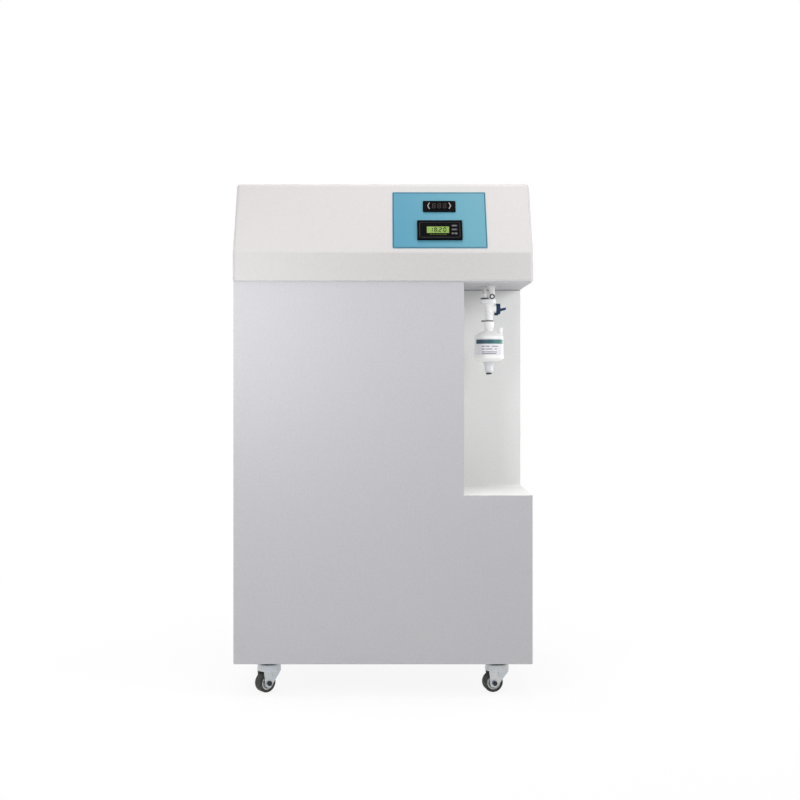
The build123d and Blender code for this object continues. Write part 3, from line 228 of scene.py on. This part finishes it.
def noise(tree, vector, scale, detail=3.0):
    """A noise value at a scale of so many grains per metre."""
    node = tree.nodes.new("ShaderNodeTexNoise")
    node.inputs["Scale"].default_value = scale
    node.inputs["Detail"].default_value = detail
    node.inputs["Roughness"].default_value = 0.55
    tree.links.new(vector, node.inputs["Vector"])
    return node.outputs["Fac"]


def spread(tree, value, low=0.0, high=1.0, start=0.3, end=0.7):
    """A value mapped from the range start to end onto the range low to high."""
    node = tree.nodes.new("ShaderNodeMapRange")
    node.inputs["From Min"].default_value = start
    node.inputs["From Max"].default_value = end
    node.inputs["To Min"].default_value = low
    node.inputs["To Max"].default_value = high
    tree.links.new(value, node.inputs["Value"])
    return node.outputs["Result"]


def mixed(tree, factor, first, second):
    """A colour between two, each of them a linear colour or a socket."""
    node = tree.nodes.new("ShaderNodeMix")
    node.data_type = "RGBA"
    tree.links.new(factor, node.inputs["Factor"])
    for socket, colour in ((node.inputs[6], first), (node.inputs[7], second)):
        if isinstance(colour, tuple):
            socket.default_value = colour
        else:
            tree.links.new(colour, socket)
    return node.outputs[2]


def combined(tree, operation, first, second):
    """Two values put through one math node."""
    node = tree.nodes.new("ShaderNodeMath")
    node.operation = operation
    tree.links.new(first, node.inputs[0])
    tree.links.new(second, node.inputs[1])
    return node.outputs["Value"]


def coordinate(tree, vector, axis):
    """One coordinate of a point."""
    split = tree.nodes.new("ShaderNodeSeparateXYZ")
    tree.links.new(vector, split.inputs["Vector"])
    return split.outputs[axis]


def bumped(tree, bsdf, height, strength, depth=RELIEF):
    """A bump on the shader from a height value."""
    node = tree.nodes.new("ShaderNodeBump")
    node.inputs["Strength"].default_value = strength
    node.inputs["Distance"].default_value = depth
    tree.links.new(height, node.inputs["Height"])
    tree.links.new(node.outputs["Normal"], bsdf.inputs["Normal"])


def edge_share(tree, vector):
    """A broken mask along the edges and inner corners of a piece."""
    rounded = tree.nodes.new("ShaderNodeBevel")
    rounded.inputs["Radius"].default_value = EDGE_TINT_REACH
    surface = tree.nodes.new("ShaderNodeNewGeometry")
    turn = tree.nodes.new("ShaderNodeVectorMath")
    turn.operation = "DOT_PRODUCT"
    tree.links.new(rounded.outputs["Normal"], turn.inputs[0])
    tree.links.new(surface.outputs["Normal"], turn.inputs[1])
    edge = spread(tree, turn.outputs["Value"], low=1.0, high=0.0, start=0.80, end=0.98)
    patches = spread(tree, noise(tree, vector, 45.0, detail=5.0), start=0.45, end=0.70)
    return combined(tree, "MULTIPLY", edge, patches)


# Kinds of finish, from 8-bit colours

def finish(name, colour, gloss, metallic=0.0, mottle=0.03, drift=4.0, grain=900.0, bump=0.12, shine=0.5,
           edge_tint=None, speck=0.0):
    """A surface with a drift in its colour, a fine grain in its gloss and relief, a speckle and a tint along
    its edges.
    """
    tree, bsdf, vector = shader(name)
    base = srgb(colour)
    cloud = noise(tree, vector, drift, detail=2.0)
    tint = mixed(tree, spread(tree, cloud), scaled(base, 1 - mottle), scaled(base, 1 + mottle))
    if speck:
        grit = noise(tree, vector, SPECK_SCALE, detail=2.0)
        tint = mixed(tree, spread(tree, grit, high=speck), tint, scaled(base, SPECK_SHADE))
    # A tint along edges: lighter on the hood, a painted highlight; darker on the panel and the liner.
    if edge_tint:
        tint = mixed(tree, edge_share(tree, vector), tint, srgb(edge_tint))
    tree.links.new(tint, bsdf.inputs["Base Color"])
    fine = noise(tree, vector, grain)
    tree.links.new(spread(tree, fine, gloss - 0.05, gloss + 0.05), bsdf.inputs["Roughness"])
    bumped(tree, bsdf, fine, bump)
    bsdf.inputs["Metallic"].default_value = metallic
    bsdf.inputs["Specular IOR Level"].default_value = shine


def plated(name, colour, warm, gloss, metallic=0.85, shade_below=None):
    """Zinc-plated pressed steel: blue and straw clouds over fine drawing lines, with painted shade below a
    height.
    """
    tree, bsdf, vector = shader(name)
    cloud = noise(tree, vector, 60.0, detail=4.0)
    tint = mixed(tree, spread(tree, cloud, start=0.4, end=0.75), srgb(colour), srgb(warm))
    # Painted shade: below the height the colour turns dark, where the shade under the cabinet falls on the
    # race.
    if shade_below:
        height, dark = shade_below
        unshaded = spread(tree, coordinate(tree, vector, "Z"), start=height - MM, end=height)
        tint = mixed(tree, unshaded, srgb(dark), tint)
    tree.links.new(tint, bsdf.inputs["Base Color"])
    stretch = tree.nodes.new("ShaderNodeMapping")
    stretch.inputs["Scale"].default_value = DRAWING_STRETCH
    tree.links.new(vector, stretch.inputs["Vector"])
    lines = noise(tree, stretch.outputs["Vector"], 700.0, detail=2.0)
    tree.links.new(spread(tree, lines, gloss - 0.08, gloss + 0.12), bsdf.inputs["Roughness"])
    bumped(tree, bsdf, lines, 0.10)
    bsdf.inputs["Metallic"].default_value = metallic


def clear(name, colour, gloss):
    """Clear tube: a pale see-through plastic with a faint haze."""
    tree, bsdf, vector = shader(name)
    base = srgb(colour)
    haze = noise(tree, vector, 140.0, detail=2.0)
    tree.links.new(mixed(tree, spread(tree, haze), base, scaled(base, 0.94)), bsdf.inputs["Base Color"])
    tree.links.new(spread(tree, haze, gloss, gloss + 0.12), bsdf.inputs["Roughness"])
    bsdf.inputs["Transmission Weight"].default_value = 0.20
    bsdf.inputs["IOR"].default_value = 1.42


def tread_rubber(name, colour, dust):
    """Tyre rubber with patches of dust."""
    tree, bsdf, vector = shader(name)
    cloud = noise(tree, vector, 160.0, detail=5.0)
    dusty = spread(tree, cloud, high=0.7, start=0.45, end=0.8)
    tree.links.new(mixed(tree, dusty, srgb(colour), srgb(dust)), bsdf.inputs["Base Color"])
    fine = noise(tree, vector, 1500.0)
    tree.links.new(spread(tree, fine, 0.65, 0.85), bsdf.inputs["Roughness"])
    bumped(tree, bsdf, fine, 0.25, depth=0.0003)


def backlit(name, colour, shade):
    """A display's backlight in two shades, with a faint glow."""
    tree, bsdf, vector = shader(name)
    cloud = noise(tree, vector, 55.0, detail=1.0)
    tint = mixed(tree, spread(tree, cloud), srgb(colour), srgb(shade))
    tree.links.new(tint, bsdf.inputs["Base Color"])
    tree.links.new(tint, bsdf.inputs["Emission Color"])
    bsdf.inputs["Emission Strength"].default_value = 0.06
    bsdf.inputs["Roughness"].default_value = 0.28


def ramped(name, left, right, ramp, gloss, shine=0.5):
    """A print whose colour runs from left to right: on the fascia that run is a painted light gradient."""
    tree, bsdf, vector = shader(name)
    across = spread(tree, coordinate(tree, vector, "X"), start=ramp[0], end=ramp[1])
    tint = mixed(tree, across, srgb(left), srgb(right))
    grain = noise(tree, vector, 500.0)
    speck = mixed(tree, spread(tree, grain, high=0.12), tint, scaled(srgb(right), 0.7))
    tree.links.new(speck, bsdf.inputs["Base Color"])
    tree.links.new(spread(tree, grain, gloss - 0.04, gloss + 0.04), bsdf.inputs["Roughness"])
    bumped(tree, bsdf, grain, 0.05)
    bsdf.inputs["Specular IOR Level"].default_value = shine


# Finishes of the record's slots

finish("panel_grey", (193, 193, 197), 0.48, mottle=0.012, drift=1.5, grain=800.0, bump=0.10,
       edge_tint=(162, 163, 166), speck=0.14)
# The liner is a whiter paint than the panel, made whiter still to lift the bay out of its shade: that lift is
# painted light.
finish("liner_white", (238, 238, 237), 0.50, mottle=0.012, drift=2.0, grain=800.0, bump=0.10,
       edge_tint=(184, 184, 182), speck=0.10)
# The hood's lighter edge tint is a painted highlight along its edges.
finish("hood_white", (202, 199, 199), 0.45, mottle=0.010, drift=1.5, grain=650.0, bump=0.10, shine=0.3,
       edge_tint=(236, 235, 233), speck=0.09)
finish("black_plastic", (4, 4, 6), 0.50, mottle=0.10, drift=30.0, grain=1800.0, bump=0.18, shine=0.03)
finish("smoked_lens", (4, 4, 5), 0.24, mottle=0.10, drift=40.0, grain=600.0, bump=0.01, shine=0.03)
finish("key_grey", (52, 53, 57), 0.60, mottle=0.08, drift=120.0, grain=2500.0, bump=0.15, shine=0.15)
finish("white_plastic", (246, 246, 246), 0.32, mottle=0.015, drift=40.0, grain=1200.0, bump=0.06)
finish("fitting_grey", (140, 142, 145), 0.45, mottle=0.04, drift=60.0, grain=1500.0, bump=0.12)
finish("capsule_white", (247, 247, 246), 0.30, mottle=0.012, drift=30.0, grain=1000.0, bump=0.05)
finish("nozzle_grey", (222, 223, 226), 0.30, mottle=0.03, drift=60.0, grain=1200.0, bump=0.05)
finish("dark_rubber", (38, 39, 42), 0.70, mottle=0.10, drift=120.0, grain=2500.0, bump=0.20)
finish("dark_clip", (44, 46, 50), 0.45, mottle=0.08, drift=90.0, grain=2000.0, bump=0.12)
finish("valve_blue", (7, 46, 78), 0.34, mottle=0.10, drift=80.0, grain=1500.0, bump=0.06, shine=0.3)
finish("wheel_grey", (206, 210, 207), 0.52, mottle=0.06, drift=90.0, grain=1500.0, bump=0.15)
finish("pump_aluminium", (176, 178, 180), 0.38, metallic=0.8, mottle=0.05, drift=20.0)
finish("motor_black", (42, 43, 46), 0.45, mottle=0.06, drift=20.0, grain=1000.0, bump=0.12)
finish("board_green", (28, 104, 62), 0.38, mottle=0.12, drift=70.0, grain=900.0, bump=0.10)
plated("zinc_sheet", (196, 200, 204), (206, 202, 190), 0.42)
plated("fastener_steel", (110, 112, 116), (126, 122, 112), 0.36)
plated("ball_steel", (196, 198, 200), (190, 188, 182), 0.16)
plated("castor_zinc", (198, 204, 211), (208, 208, 202), 0.34, metallic=0.60)
# The fascia's run from darker blue at the left to lighter at the right is a painted light gradient.
ramped("label_blue", (73, 141, 166), (94, 153, 171), FASCIA_RAMP, 0.42, shine=0.3)
backlit("lcd_green", (126, 158, 66), (110, 142, 53))
clear("clear_tube", (246, 246, 240), 0.14)
tread_rubber("tyre_rubber", (42, 44, 42), (104, 103, 92))

# Nodes whose finish differs from the rest of their slot

# The races: a paler copy of the castors' zinc, lightened to offset the shade under the cabinet, which is
# painted light, and darkened below a height, which is painted shade.
plated("race_steel", (205, 211, 219), (214, 212, 204), 0.40, shade_below=(PAINTED_SHADE_TOP, (62, 66, 70)))
plated("axle_steel", (50, 53, 60), (66, 64, 60), 0.34)
finish("inlet_black", (22, 23, 26), 0.42, mottle=0.08, drift=60.0, grain=1600.0, bump=0.15, shine=0.3)
finish("switch_black", (34, 35, 39), 0.30, mottle=0.06, drift=60.0, grain=1600.0, bump=0.06)
own_finishes = {"castor_plates": "race_steel", "power_inlet": "inlet_black", "power_rocker": "switch_black"}
own_finishes.update({f"castor_axle_{corner}": "axle_steel" for corner in CORNERS})

# Inks, the label's paper, the bead and the pins' plating

finish("outline_blue", (40, 68, 86), 0.45, mottle=0.10, drift=30.0, shine=0.2)
finish("print_grey", (70, 70, 74), 0.50, mottle=0.10, drift=90.0, shine=0.1)
finish("print_dim", (56, 48, 48), 0.40, mottle=0.25, drift=90.0, shine=0.1)
# Pale ink for the third key's dashes, also used for the painted highlight strokes at the upper meter's window
# ends.
finish("pale_print_and_glint", (150, 146, 146), 0.35, mottle=0.08, drift=90.0)
finish("print_key", (128, 130, 132), 0.50, mottle=0.10, drift=90.0, shine=0.1)
finish("print_moss", (88, 98, 38), 0.50, mottle=0.12, drift=90.0, shine=0.1)
finish("print_olive", (14, 26, 4), 0.40, mottle=0.10, drift=90.0, shine=0.1)
finish("switch_ink", (226, 226, 224), 0.45, mottle=0.05, drift=90.0)
finish("label_paper", (232, 231, 236), 0.42, mottle=0.010, drift=60.0, grain=2000.0, bump=0.04)
finish("label_ink", (112, 104, 120), 0.45, mottle=0.12, drift=200.0)
finish("bead_grey", (146, 148, 152), 0.60, mottle=0.10, drift=60.0, grain=700.0, bump=0.25)
ramped("label_teal", (22, 70, 92), (58, 130, 120), BAND_RAMP, 0.38)
plated("pin_metal", (200, 196, 184), (206, 194, 160), 0.25)


def dress_nodes():
    """Each CAD node takes its own finish, or that of its slot in the record."""
    for entry in frame["record"]["subparts"]:
        materials = nodes[entry["node"]].data.materials
        materials.clear()
        materials.append(finishes[own_finishes.get(entry["node"], entry["material_slot"])])


# Meshes of printed and fitted details

def skin(form, rings, looped=False):
    """Faces between rings of points, which come round in a loop or end in caps."""
    count = len(rings[0])
    following = rings[1:] + rings[:1] if looped else rings[1:]
    for first, last in zip(rings, following):
        for i in range(count):
            j = (i + 1) % count
            form.faces.new((first[i], first[j], last[j], last[i]))
    if not looped:
        form.faces.new(list(reversed(rings[0])))
        form.faces.new(rings[-1])


def closed_mesh(name, form):
    """A form's mesh, with its faces turned outwards."""
    mesh = bpy.data.meshes.new(name)
    bmesh.ops.recalc_face_normals(form, faces=form.faces)
    form.to_mesh(mesh)
    form.free()
    return mesh


def place_piece(name, mesh, look, body):
    """A finished mesh as a piece that rides on a body."""
    piece = bpy.data.objects.new(name, mesh)
    bpy.context.collection.objects.link(piece)
    mesh.materials.append(finishes[look])
    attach(piece, body)


def place_print(name, outlines, surface, look, body, thickness=PRINT):
    """Flat outlines raised into thin closed prints; surface gives a point from across, along and lift."""
    form = bmesh.new()
    for outline in outlines:
        low = [form.verts.new(surface(u, v, 0.0)) for u, v in outline]
        high = [form.verts.new(surface(u, v, thickness)) for u, v in outline]
        skin(form, [low, high])
    place_piece(name, closed_mesh(name, form), look, body)


# Surfaces that carry prints: points from across, along and lift

def on_plane(start, right, up, out):
    """Points on a flat face."""
    return lambda u, v, w: start + right * u + up * v + out * w


def on_slope(x, rise, lift):
    """Points on a face along the hood's slope."""
    right = Vector((1.0, 0.0, 0.0))
    up = Vector((0.0, math.sin(SLOPE), math.cos(SLOPE)))
    out = Vector((0.0, -math.cos(SLOPE), math.sin(SLOPE)))
    start = Vector((x, HOOD_FRONT, BAND_TOP)) + up * rise + out * (lift + PRINT_LIFT)
    return on_plane(start, right, up, out)


def on_rocker(tilt, reach):
    """Points on one face of the rocker switch."""
    right = Vector((-1.0, 0.0, 0.0))
    up = Vector((0.0, math.sin(tilt), math.cos(tilt)))
    out = Vector((0.0, math.cos(tilt), -math.sin(tilt)))
    start = Vector(ROCKER_FOLD) + up * reach + out * PRINT_LIFT
    return on_plane(start, right, up, out)


def round_capsule(radius):
    """Points round the capsule's front, from an arc length, a height and a lift."""
    def point(u, v, w):
        angle = u / CAPSULE_RADIUS
        reach = radius + w
        return Vector((OUTLET[0] + reach * math.sin(angle), OUTLET[1] - reach * math.cos(angle), v))
    return point


# Flat outlines of prints and painted highlights

def block(x, y, width, height):
    """A small printed rectangle about a point."""
    return [(x - width / 2, y - height / 2), (x + width / 2, y - height / 2),
            (x + width / 2, y + height / 2), (x - width / 2, y + height / 2)]


def cut_corners(width, height, corner):
    """A rectangle with its corners cut, from its lower right round."""
    x, y = width / 2, height / 2
    return [(x - corner, -y), (x, -y + corner), (x, y - corner), (x - corner, y),
            (-x + corner, y), (-x, y - corner), (-x, -y + corner), (-x + corner, -y)]


def frame_bars(size, inset, line):
    """The mitred bars of a printed frame with cut corners, set in from a face's edge."""
    width, height = size[0] - inset, size[1] - inset
    outer = cut_corners(width, height, FRAME_CORNER)
    inner = cut_corners(width - 2 * line, height - 2 * line, max(FRAME_CORNER - line, line / 2))
    count = len(outer)
    return [(outer[i], outer[(i + 1) % count], inner[(i + 1) % count], inner[i]) for i in range(count)]


def ring_bars(radius, line, steps):
    """A printed ring, as short bars."""
    turns = [FULL_TURN * i / steps for i in range(steps + 1)]
    outer = [(radius * math.cos(a), radius * math.sin(a)) for a in turns]
    inner = [((radius - line) * math.cos(a), (radius - line) * math.sin(a)) for a in turns]
    return [(outer[i], outer[i + 1], inner[i + 1], inner[i]) for i in range(steps)]


def arc_bars(u_span, v_span, steps):
    """A band cut into short bars, so that it can bend round the capsule."""
    low, high = v_span
    width = (u_span[1] - u_span[0]) / steps
    bars = []
    for i in range(steps):
        left = u_span[0] + i * width
        bars.append([(left, low), (left + width, low), (left + width, high), (left, high)])
    return bars


def segment_bars(digit, height, line, slant):
    """The six-sided bars of one seven-segment digit about its middle."""
    half, side = height / 2, height * DIGIT_WIDTH / 2
    gap = line * DIGIT_GAP
    ends = {
        "a": ((-side, half), (side, half)),
        "b": ((side, half), (side, 0)),
        "c": ((side, 0), (side, -half)),
        "d": ((-side, -half), (side, -half)),
        "e": ((-side, 0), (-side, -half)),
        "f": ((-side, half), (-side, 0)),
        "g": ((-side, 0), (side, 0)),
    }
    bars = []
    for key in SEGMENTS[digit]:
        first, last = (Vector(end) for end in ends[key])
        along = (last - first).normalized()
        across = Vector((-along.y, along.x)) * line / 2
        tip, root = along * gap, along * (gap + line / 2)
        corners = [first + tip, first + root - across, last - root - across,
                   last - tip, last - root + across, first + root + across]
        bars.append([(corner.x + corner.y * slant, corner.y) for corner in corners])
    return bars


def digit_row(text, height, line, pitch, slant):
    """Seven-segment digits in a row about its middle."""
    start = -(len(text) - 1) * pitch / 2
    bars = []
    for i, digit in enumerate(text):
        shift = start + i * pitch
        bars += [[(u + shift, v) for u, v in bar] for bar in segment_bars(digit, height, line, slant)]
    return bars


def glint_stroke(side, reach, lean, height, line):
    """A painted highlight at one end of the upper meter's window, where its end facet glints, drawn as an angle
    bracket of two bars.
    """
    tip, top = side * reach, height / 2
    elbow, back = tip + side * lean, side * line
    return [[(tip, y), (elbow, 0), (elbow - back, 0), (tip - back, y)] for y in (top, -top)]


# Printed and fitted details, and painted highlights

def make_slope_prints():
    """The fascia's outline, the meters' prints and the painted highlights at the upper meter's window ends."""
    fascia = on_slope(FASCIA_X, FASCIA_RISE, FASCIA_FACE)
    outline = frame_bars(FASCIA_SIZE, FASCIA_INSET, FASCIA_LINE)
    place_print("fascia_outline", outline, fascia, "outline_blue", CABINET)

    lower = on_slope(FASCIA_X, LOWER_RISE, LOWER_FACE)
    border = frame_bars(LOWER_FACE_SIZE, BORDER_INSET, BORDER_LINE)
    place_print("lower_meter_border", border, lower, "print_grey", CABINET)

    display = on_slope(FASCIA_X + DISPLAY_X, LOWER_RISE, LOWER_FACE)
    digits = digit_row(**LOWER_DIGITS)
    digits.append(block(0.0, POINT_Y, POINT_SIZE, POINT_SIZE))
    place_print("lower_meter_digits", digits, display, "print_olive", CABINET)
    dashes = [block(x * MM, DASH_Y, *DASH_SIZE) for x in DASH_PLACES_MM]
    place_print("lower_meter_dashes", dashes, display, "print_moss", CABINET)

    upper = on_slope(FASCIA_X, UPPER_RISE, UPPER_FACE)
    place_print("upper_meter_digits", digit_row(**UPPER_DIGITS), upper, "print_dim", CABINET)
    # Painted highlights: pale strokes where the window's end facets glint.
    glints = glint_stroke(-1, **WINDOW_GLINT) + glint_stroke(1, **WINDOW_GLINT)
    place_print("upper_meter_glints", glints, upper, "pale_print_and_glint", CABINET)


def make_key_prints():
    """Plain dashes on the lower meter's three keys."""
    for i, (row, ink) in enumerate(zip(KEY_DASHES_MM, KEY_INKS)):
        face = on_slope(FASCIA_X + KEY_X, LOWER_RISE + (1 - i) * KEY_PITCH, KEY_FACE)
        dashes = [block(x * MM, 0.0, width * MM, KEY_DASH_HEIGHT) for x, width in row]
        key = f"meter_key_{i + 1}"
        place_print(f"{key}_print", dashes, face, ink, key)


def make_capsule_label():
    """The wrapped capsule label: paper, a coloured band and plain lines."""
    paper = round_capsule(CAPSULE_RADIUS + PRINT_LIFT)
    half = CAPSULE_RADIUS * LABEL_HALF
    sheet = arc_bars((-half, half), LABEL_SPAN, LABEL_STEPS)
    place_print("capsule_label", sheet, paper, "label_paper", CABINET)

    inked = round_capsule(CAPSULE_RADIUS + PRINT_LIFT + PRINT)
    half = CAPSULE_RADIUS * BAND_HALF
    band = arc_bars((-half, half), BAND_SPAN, BAND_STEPS)
    place_print("capsule_label_band", band, inked, "label_teal", CABINET, PRINT / 2)

    lines = []
    for height, ends in LABEL_LINES:
        for left, right in zip(ends[::2], ends[1::2]):
            steps = max(2, round((right - left) / 2))
            lines += arc_bars((left * MM, right * MM), (height, height + STROKE_HEIGHT), steps)
    place_print("capsule_label_lines", lines, inked, "label_ink", CABINET, PRINT / 2)


def make_deck_bead():
    """A grey bead along the line where the bay's wall and cheek meet the deck above."""
    angles = [math.radians(90) * i / BEAD_STEPS for i in range(BEAD_STEPS + 1)]
    profile = [(0.0, 0.0)] + [(BEAD * (1 - math.sin(a)), BEAD * (1 - math.cos(a))) for a in angles]
    route = ((BAY_SIDE, BAY_BACK, 0.0, -1.0), (BAY_LEFT, BAY_BACK, 1.0, -1.0), (BAY_LEFT, BAY_FRONT, 1.0, 0.0))
    form = bmesh.new()
    rings = []
    for x, y, side, front in route:
        rings.append([form.verts.new((x + out * side, y + out * front, DECK - down)) for out, down in profile])
    skin(form, rings)
    place_piece("deck_bead", closed_mesh("deck_bead", form), "bead_grey", CABINET)


def make_castor_cups():
    """The pressed cup on each castor's fork, which encloses the race."""
    joints = {joint["name"]: joint for joint in frame["record"]["behaviour"]["joints"]}
    for corner in CORNERS:
        x, y = joints[f"swivel_{corner}"]["pos_m"][:2]
        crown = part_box(f"castor_fork_{corner}")[1][2]
        form = bmesh.new()
        rings = []
        for i in range(CUP_STEPS):
            turn = FULL_TURN * i / CUP_STEPS
            across, along = math.cos(turn) * MM, math.sin(turn) * MM
            wall = [(x + r * across, y + r * along, crown + z * MM) for r, z in CUP_PROFILE_MM]
            rings.append([form.verts.new(point) for point in wall])
        skin(form, rings, looped=True)
        name = f"castor_cup_{corner}"
        mesh = closed_mesh(name, form)
        mesh.shade_smooth()
        mesh.set_sharp_from_angle(angle=CUP_SHARP)
        place_piece(name, mesh, "castor_zinc", f"fork_{corner}")


def make_switch_marks():
    """The stroke and the ring printed on the power switch."""
    stroke = [block(0.0, 0.0, MARK_LINE, MARK_HEIGHT)]
    raised_face = on_rocker(ROCKER_TILT, MARK_REACH)
    place_print("switch_mark_on", stroke, raised_face, "switch_ink", "power_rocker")
    ring = ring_bars(MARK_RADIUS, MARK_LINE, MARK_STEPS)
    flat_face = on_rocker(0.0, -MARK_REACH)
    place_print("switch_mark_off", ring, flat_face, "switch_ink", "power_rocker")


def make_pin_plating():
    """The bright plating on the power inlet's three pins, chamfered at its tips."""
    root, shoulder = PIN_SPAN
    form = bmesh.new()
    for x, z in PIN_PLACES:
        rings = []
        for y, cut in ((root, 0.0), (shoulder, 0.0), (shoulder + PIN_CHAMFER, PIN_CHAMFER)):
            corners = block(x, z, PIN_SIZE[0] - 2 * cut, PIN_SIZE[1] - 2 * cut)
            rings.append([form.verts.new((u, y, v)) for u, v in corners])
        skin(form, rings)
    place_piece("inlet_pins", closed_mesh("inlet_pins", form), "pin_metal", CABINET)


# Studio

def seen_ray(tree):
    """One for rays that show the background to the camera, a reflection or a see-through piece."""
    rays = tree.nodes.new("ShaderNodeLightPath").outputs
    either = combined(tree, "MAXIMUM", rays["Is Camera Ray"], rays["Is Glossy Ray"])
    return combined(tree, "MAXIMUM", either, rays["Is Transmission Ray"])


def white_share(tree):
    """The floor's share of plain white, which grows to one where the floor runs into the backdrop."""
    place = tree.nodes.new("ShaderNodeTexCoord")
    reach = tree.nodes.new("ShaderNodeVectorMath")
    reach.operation = "LENGTH"
    tree.links.new(place.outputs["Object"], reach.inputs[0])
    return spread(tree, reach.outputs["Value"], FLOOR_WHITE, 1.0, *FLOOR_FADE)


def blended(tree, factor, first, second, output):
    """Two shaders mixed into an output."""
    mix = tree.nodes.new("ShaderNodeMixShader")
    tree.links.new(factor, mix.inputs["Fac"])
    tree.links.new(first, mix.inputs[1])
    tree.links.new(second, mix.inputs[2])
    tree.links.new(mix.outputs["Shader"], tree.nodes[output].inputs["Surface"])


def make_floor():
    """A plain pale floor that shows the object's soft shadow."""
    mesh = bpy.data.meshes.new("floor")
    form = bmesh.new()
    bmesh.ops.create_grid(form, x_segments=FLOOR_CELLS, y_segments=FLOOR_CELLS, size=FLOOR_SIZE)
    form.to_mesh(mesh)
    form.free()
    floor = bpy.data.objects.new("floor", mesh)
    bpy.context.collection.objects.link(floor)
    material = bpy.data.materials.new("floor")
    material.use_nodes = True
    tree = material.node_tree
    base = tree.nodes["Principled BSDF"]
    base.inputs["Base Color"].default_value = FLOOR_TONE
    base.inputs["Roughness"].default_value = FLOOR_ROUGHNESS
    glow = tree.nodes.new("ShaderNodeEmission")
    glow.inputs["Strength"].default_value = 1.0
    factor = combined(tree, "MULTIPLY", seen_ray(tree), white_share(tree))
    blended(tree, factor, base.outputs["BSDF"], glow.outputs["Emission"], "Material Output")
    mesh.materials.append(material)


def make_world():
    """A white backdrop that lights the object softly."""
    world = bpy.data.worlds.new("studio")
    bpy.context.scene.world = world
    world.use_nodes = True
    tree = world.node_tree
    light = tree.nodes["Background"]
    light.inputs["Color"].default_value = SOFT_WHITE
    light.inputs["Strength"].default_value = SOFT_STRENGTH
    white = tree.nodes.new("ShaderNodeBackground")
    white.inputs["Color"].default_value = PURE_WHITE
    white.inputs["Strength"].default_value = 1.0
    blended(tree, seen_ray(tree), light.outputs["Background"], white.outputs["Background"], "World Output")


def make_lamp(name, place, target, size, power, colour):
    """A soft square lamp that faces a point."""
    lamp = bpy.data.lights.new(name, "AREA")
    lamp.size = size
    lamp.energy = power
    lamp.color = colour
    holder = bpy.data.objects.new(name, lamp)
    holder.location = place
    holder.visible_camera = False
    holder.rotation_euler = (Vector(target) - Vector(place)).to_track_quat("-Z", "Y").to_euler()
    bpy.context.collection.objects.link(holder)


def make_camera():
    """The camera at the photo's place and framing."""
    lens = bpy.data.cameras.new("camera")
    lens.lens = CAMERA_LENS
    lens.sensor_width = CAMERA_SENSOR
    lens.shift_x, lens.shift_y = CAMERA_SHIFT
    camera = bpy.data.objects.new("camera", lens)
    camera.location = (0.0, FRONT_Y - CAMERA_DISTANCE, CAMERA_HEIGHT)
    camera.rotation_euler = (math.radians(90), 0.0, 0.0)
    bpy.context.collection.objects.link(camera)
    bpy.context.scene.camera = camera


make_camera()
dress_nodes()
make_slope_prints()
make_key_prints()
make_capsule_label()
make_deck_bead()
make_castor_cups()
make_switch_marks()
make_pin_plating()
make_floor()
make_world()
for lamp_settings in LAMPS:
    make_lamp(*lamp_settings)
bpy.context.scene.view_settings.view_transform = "Standard"
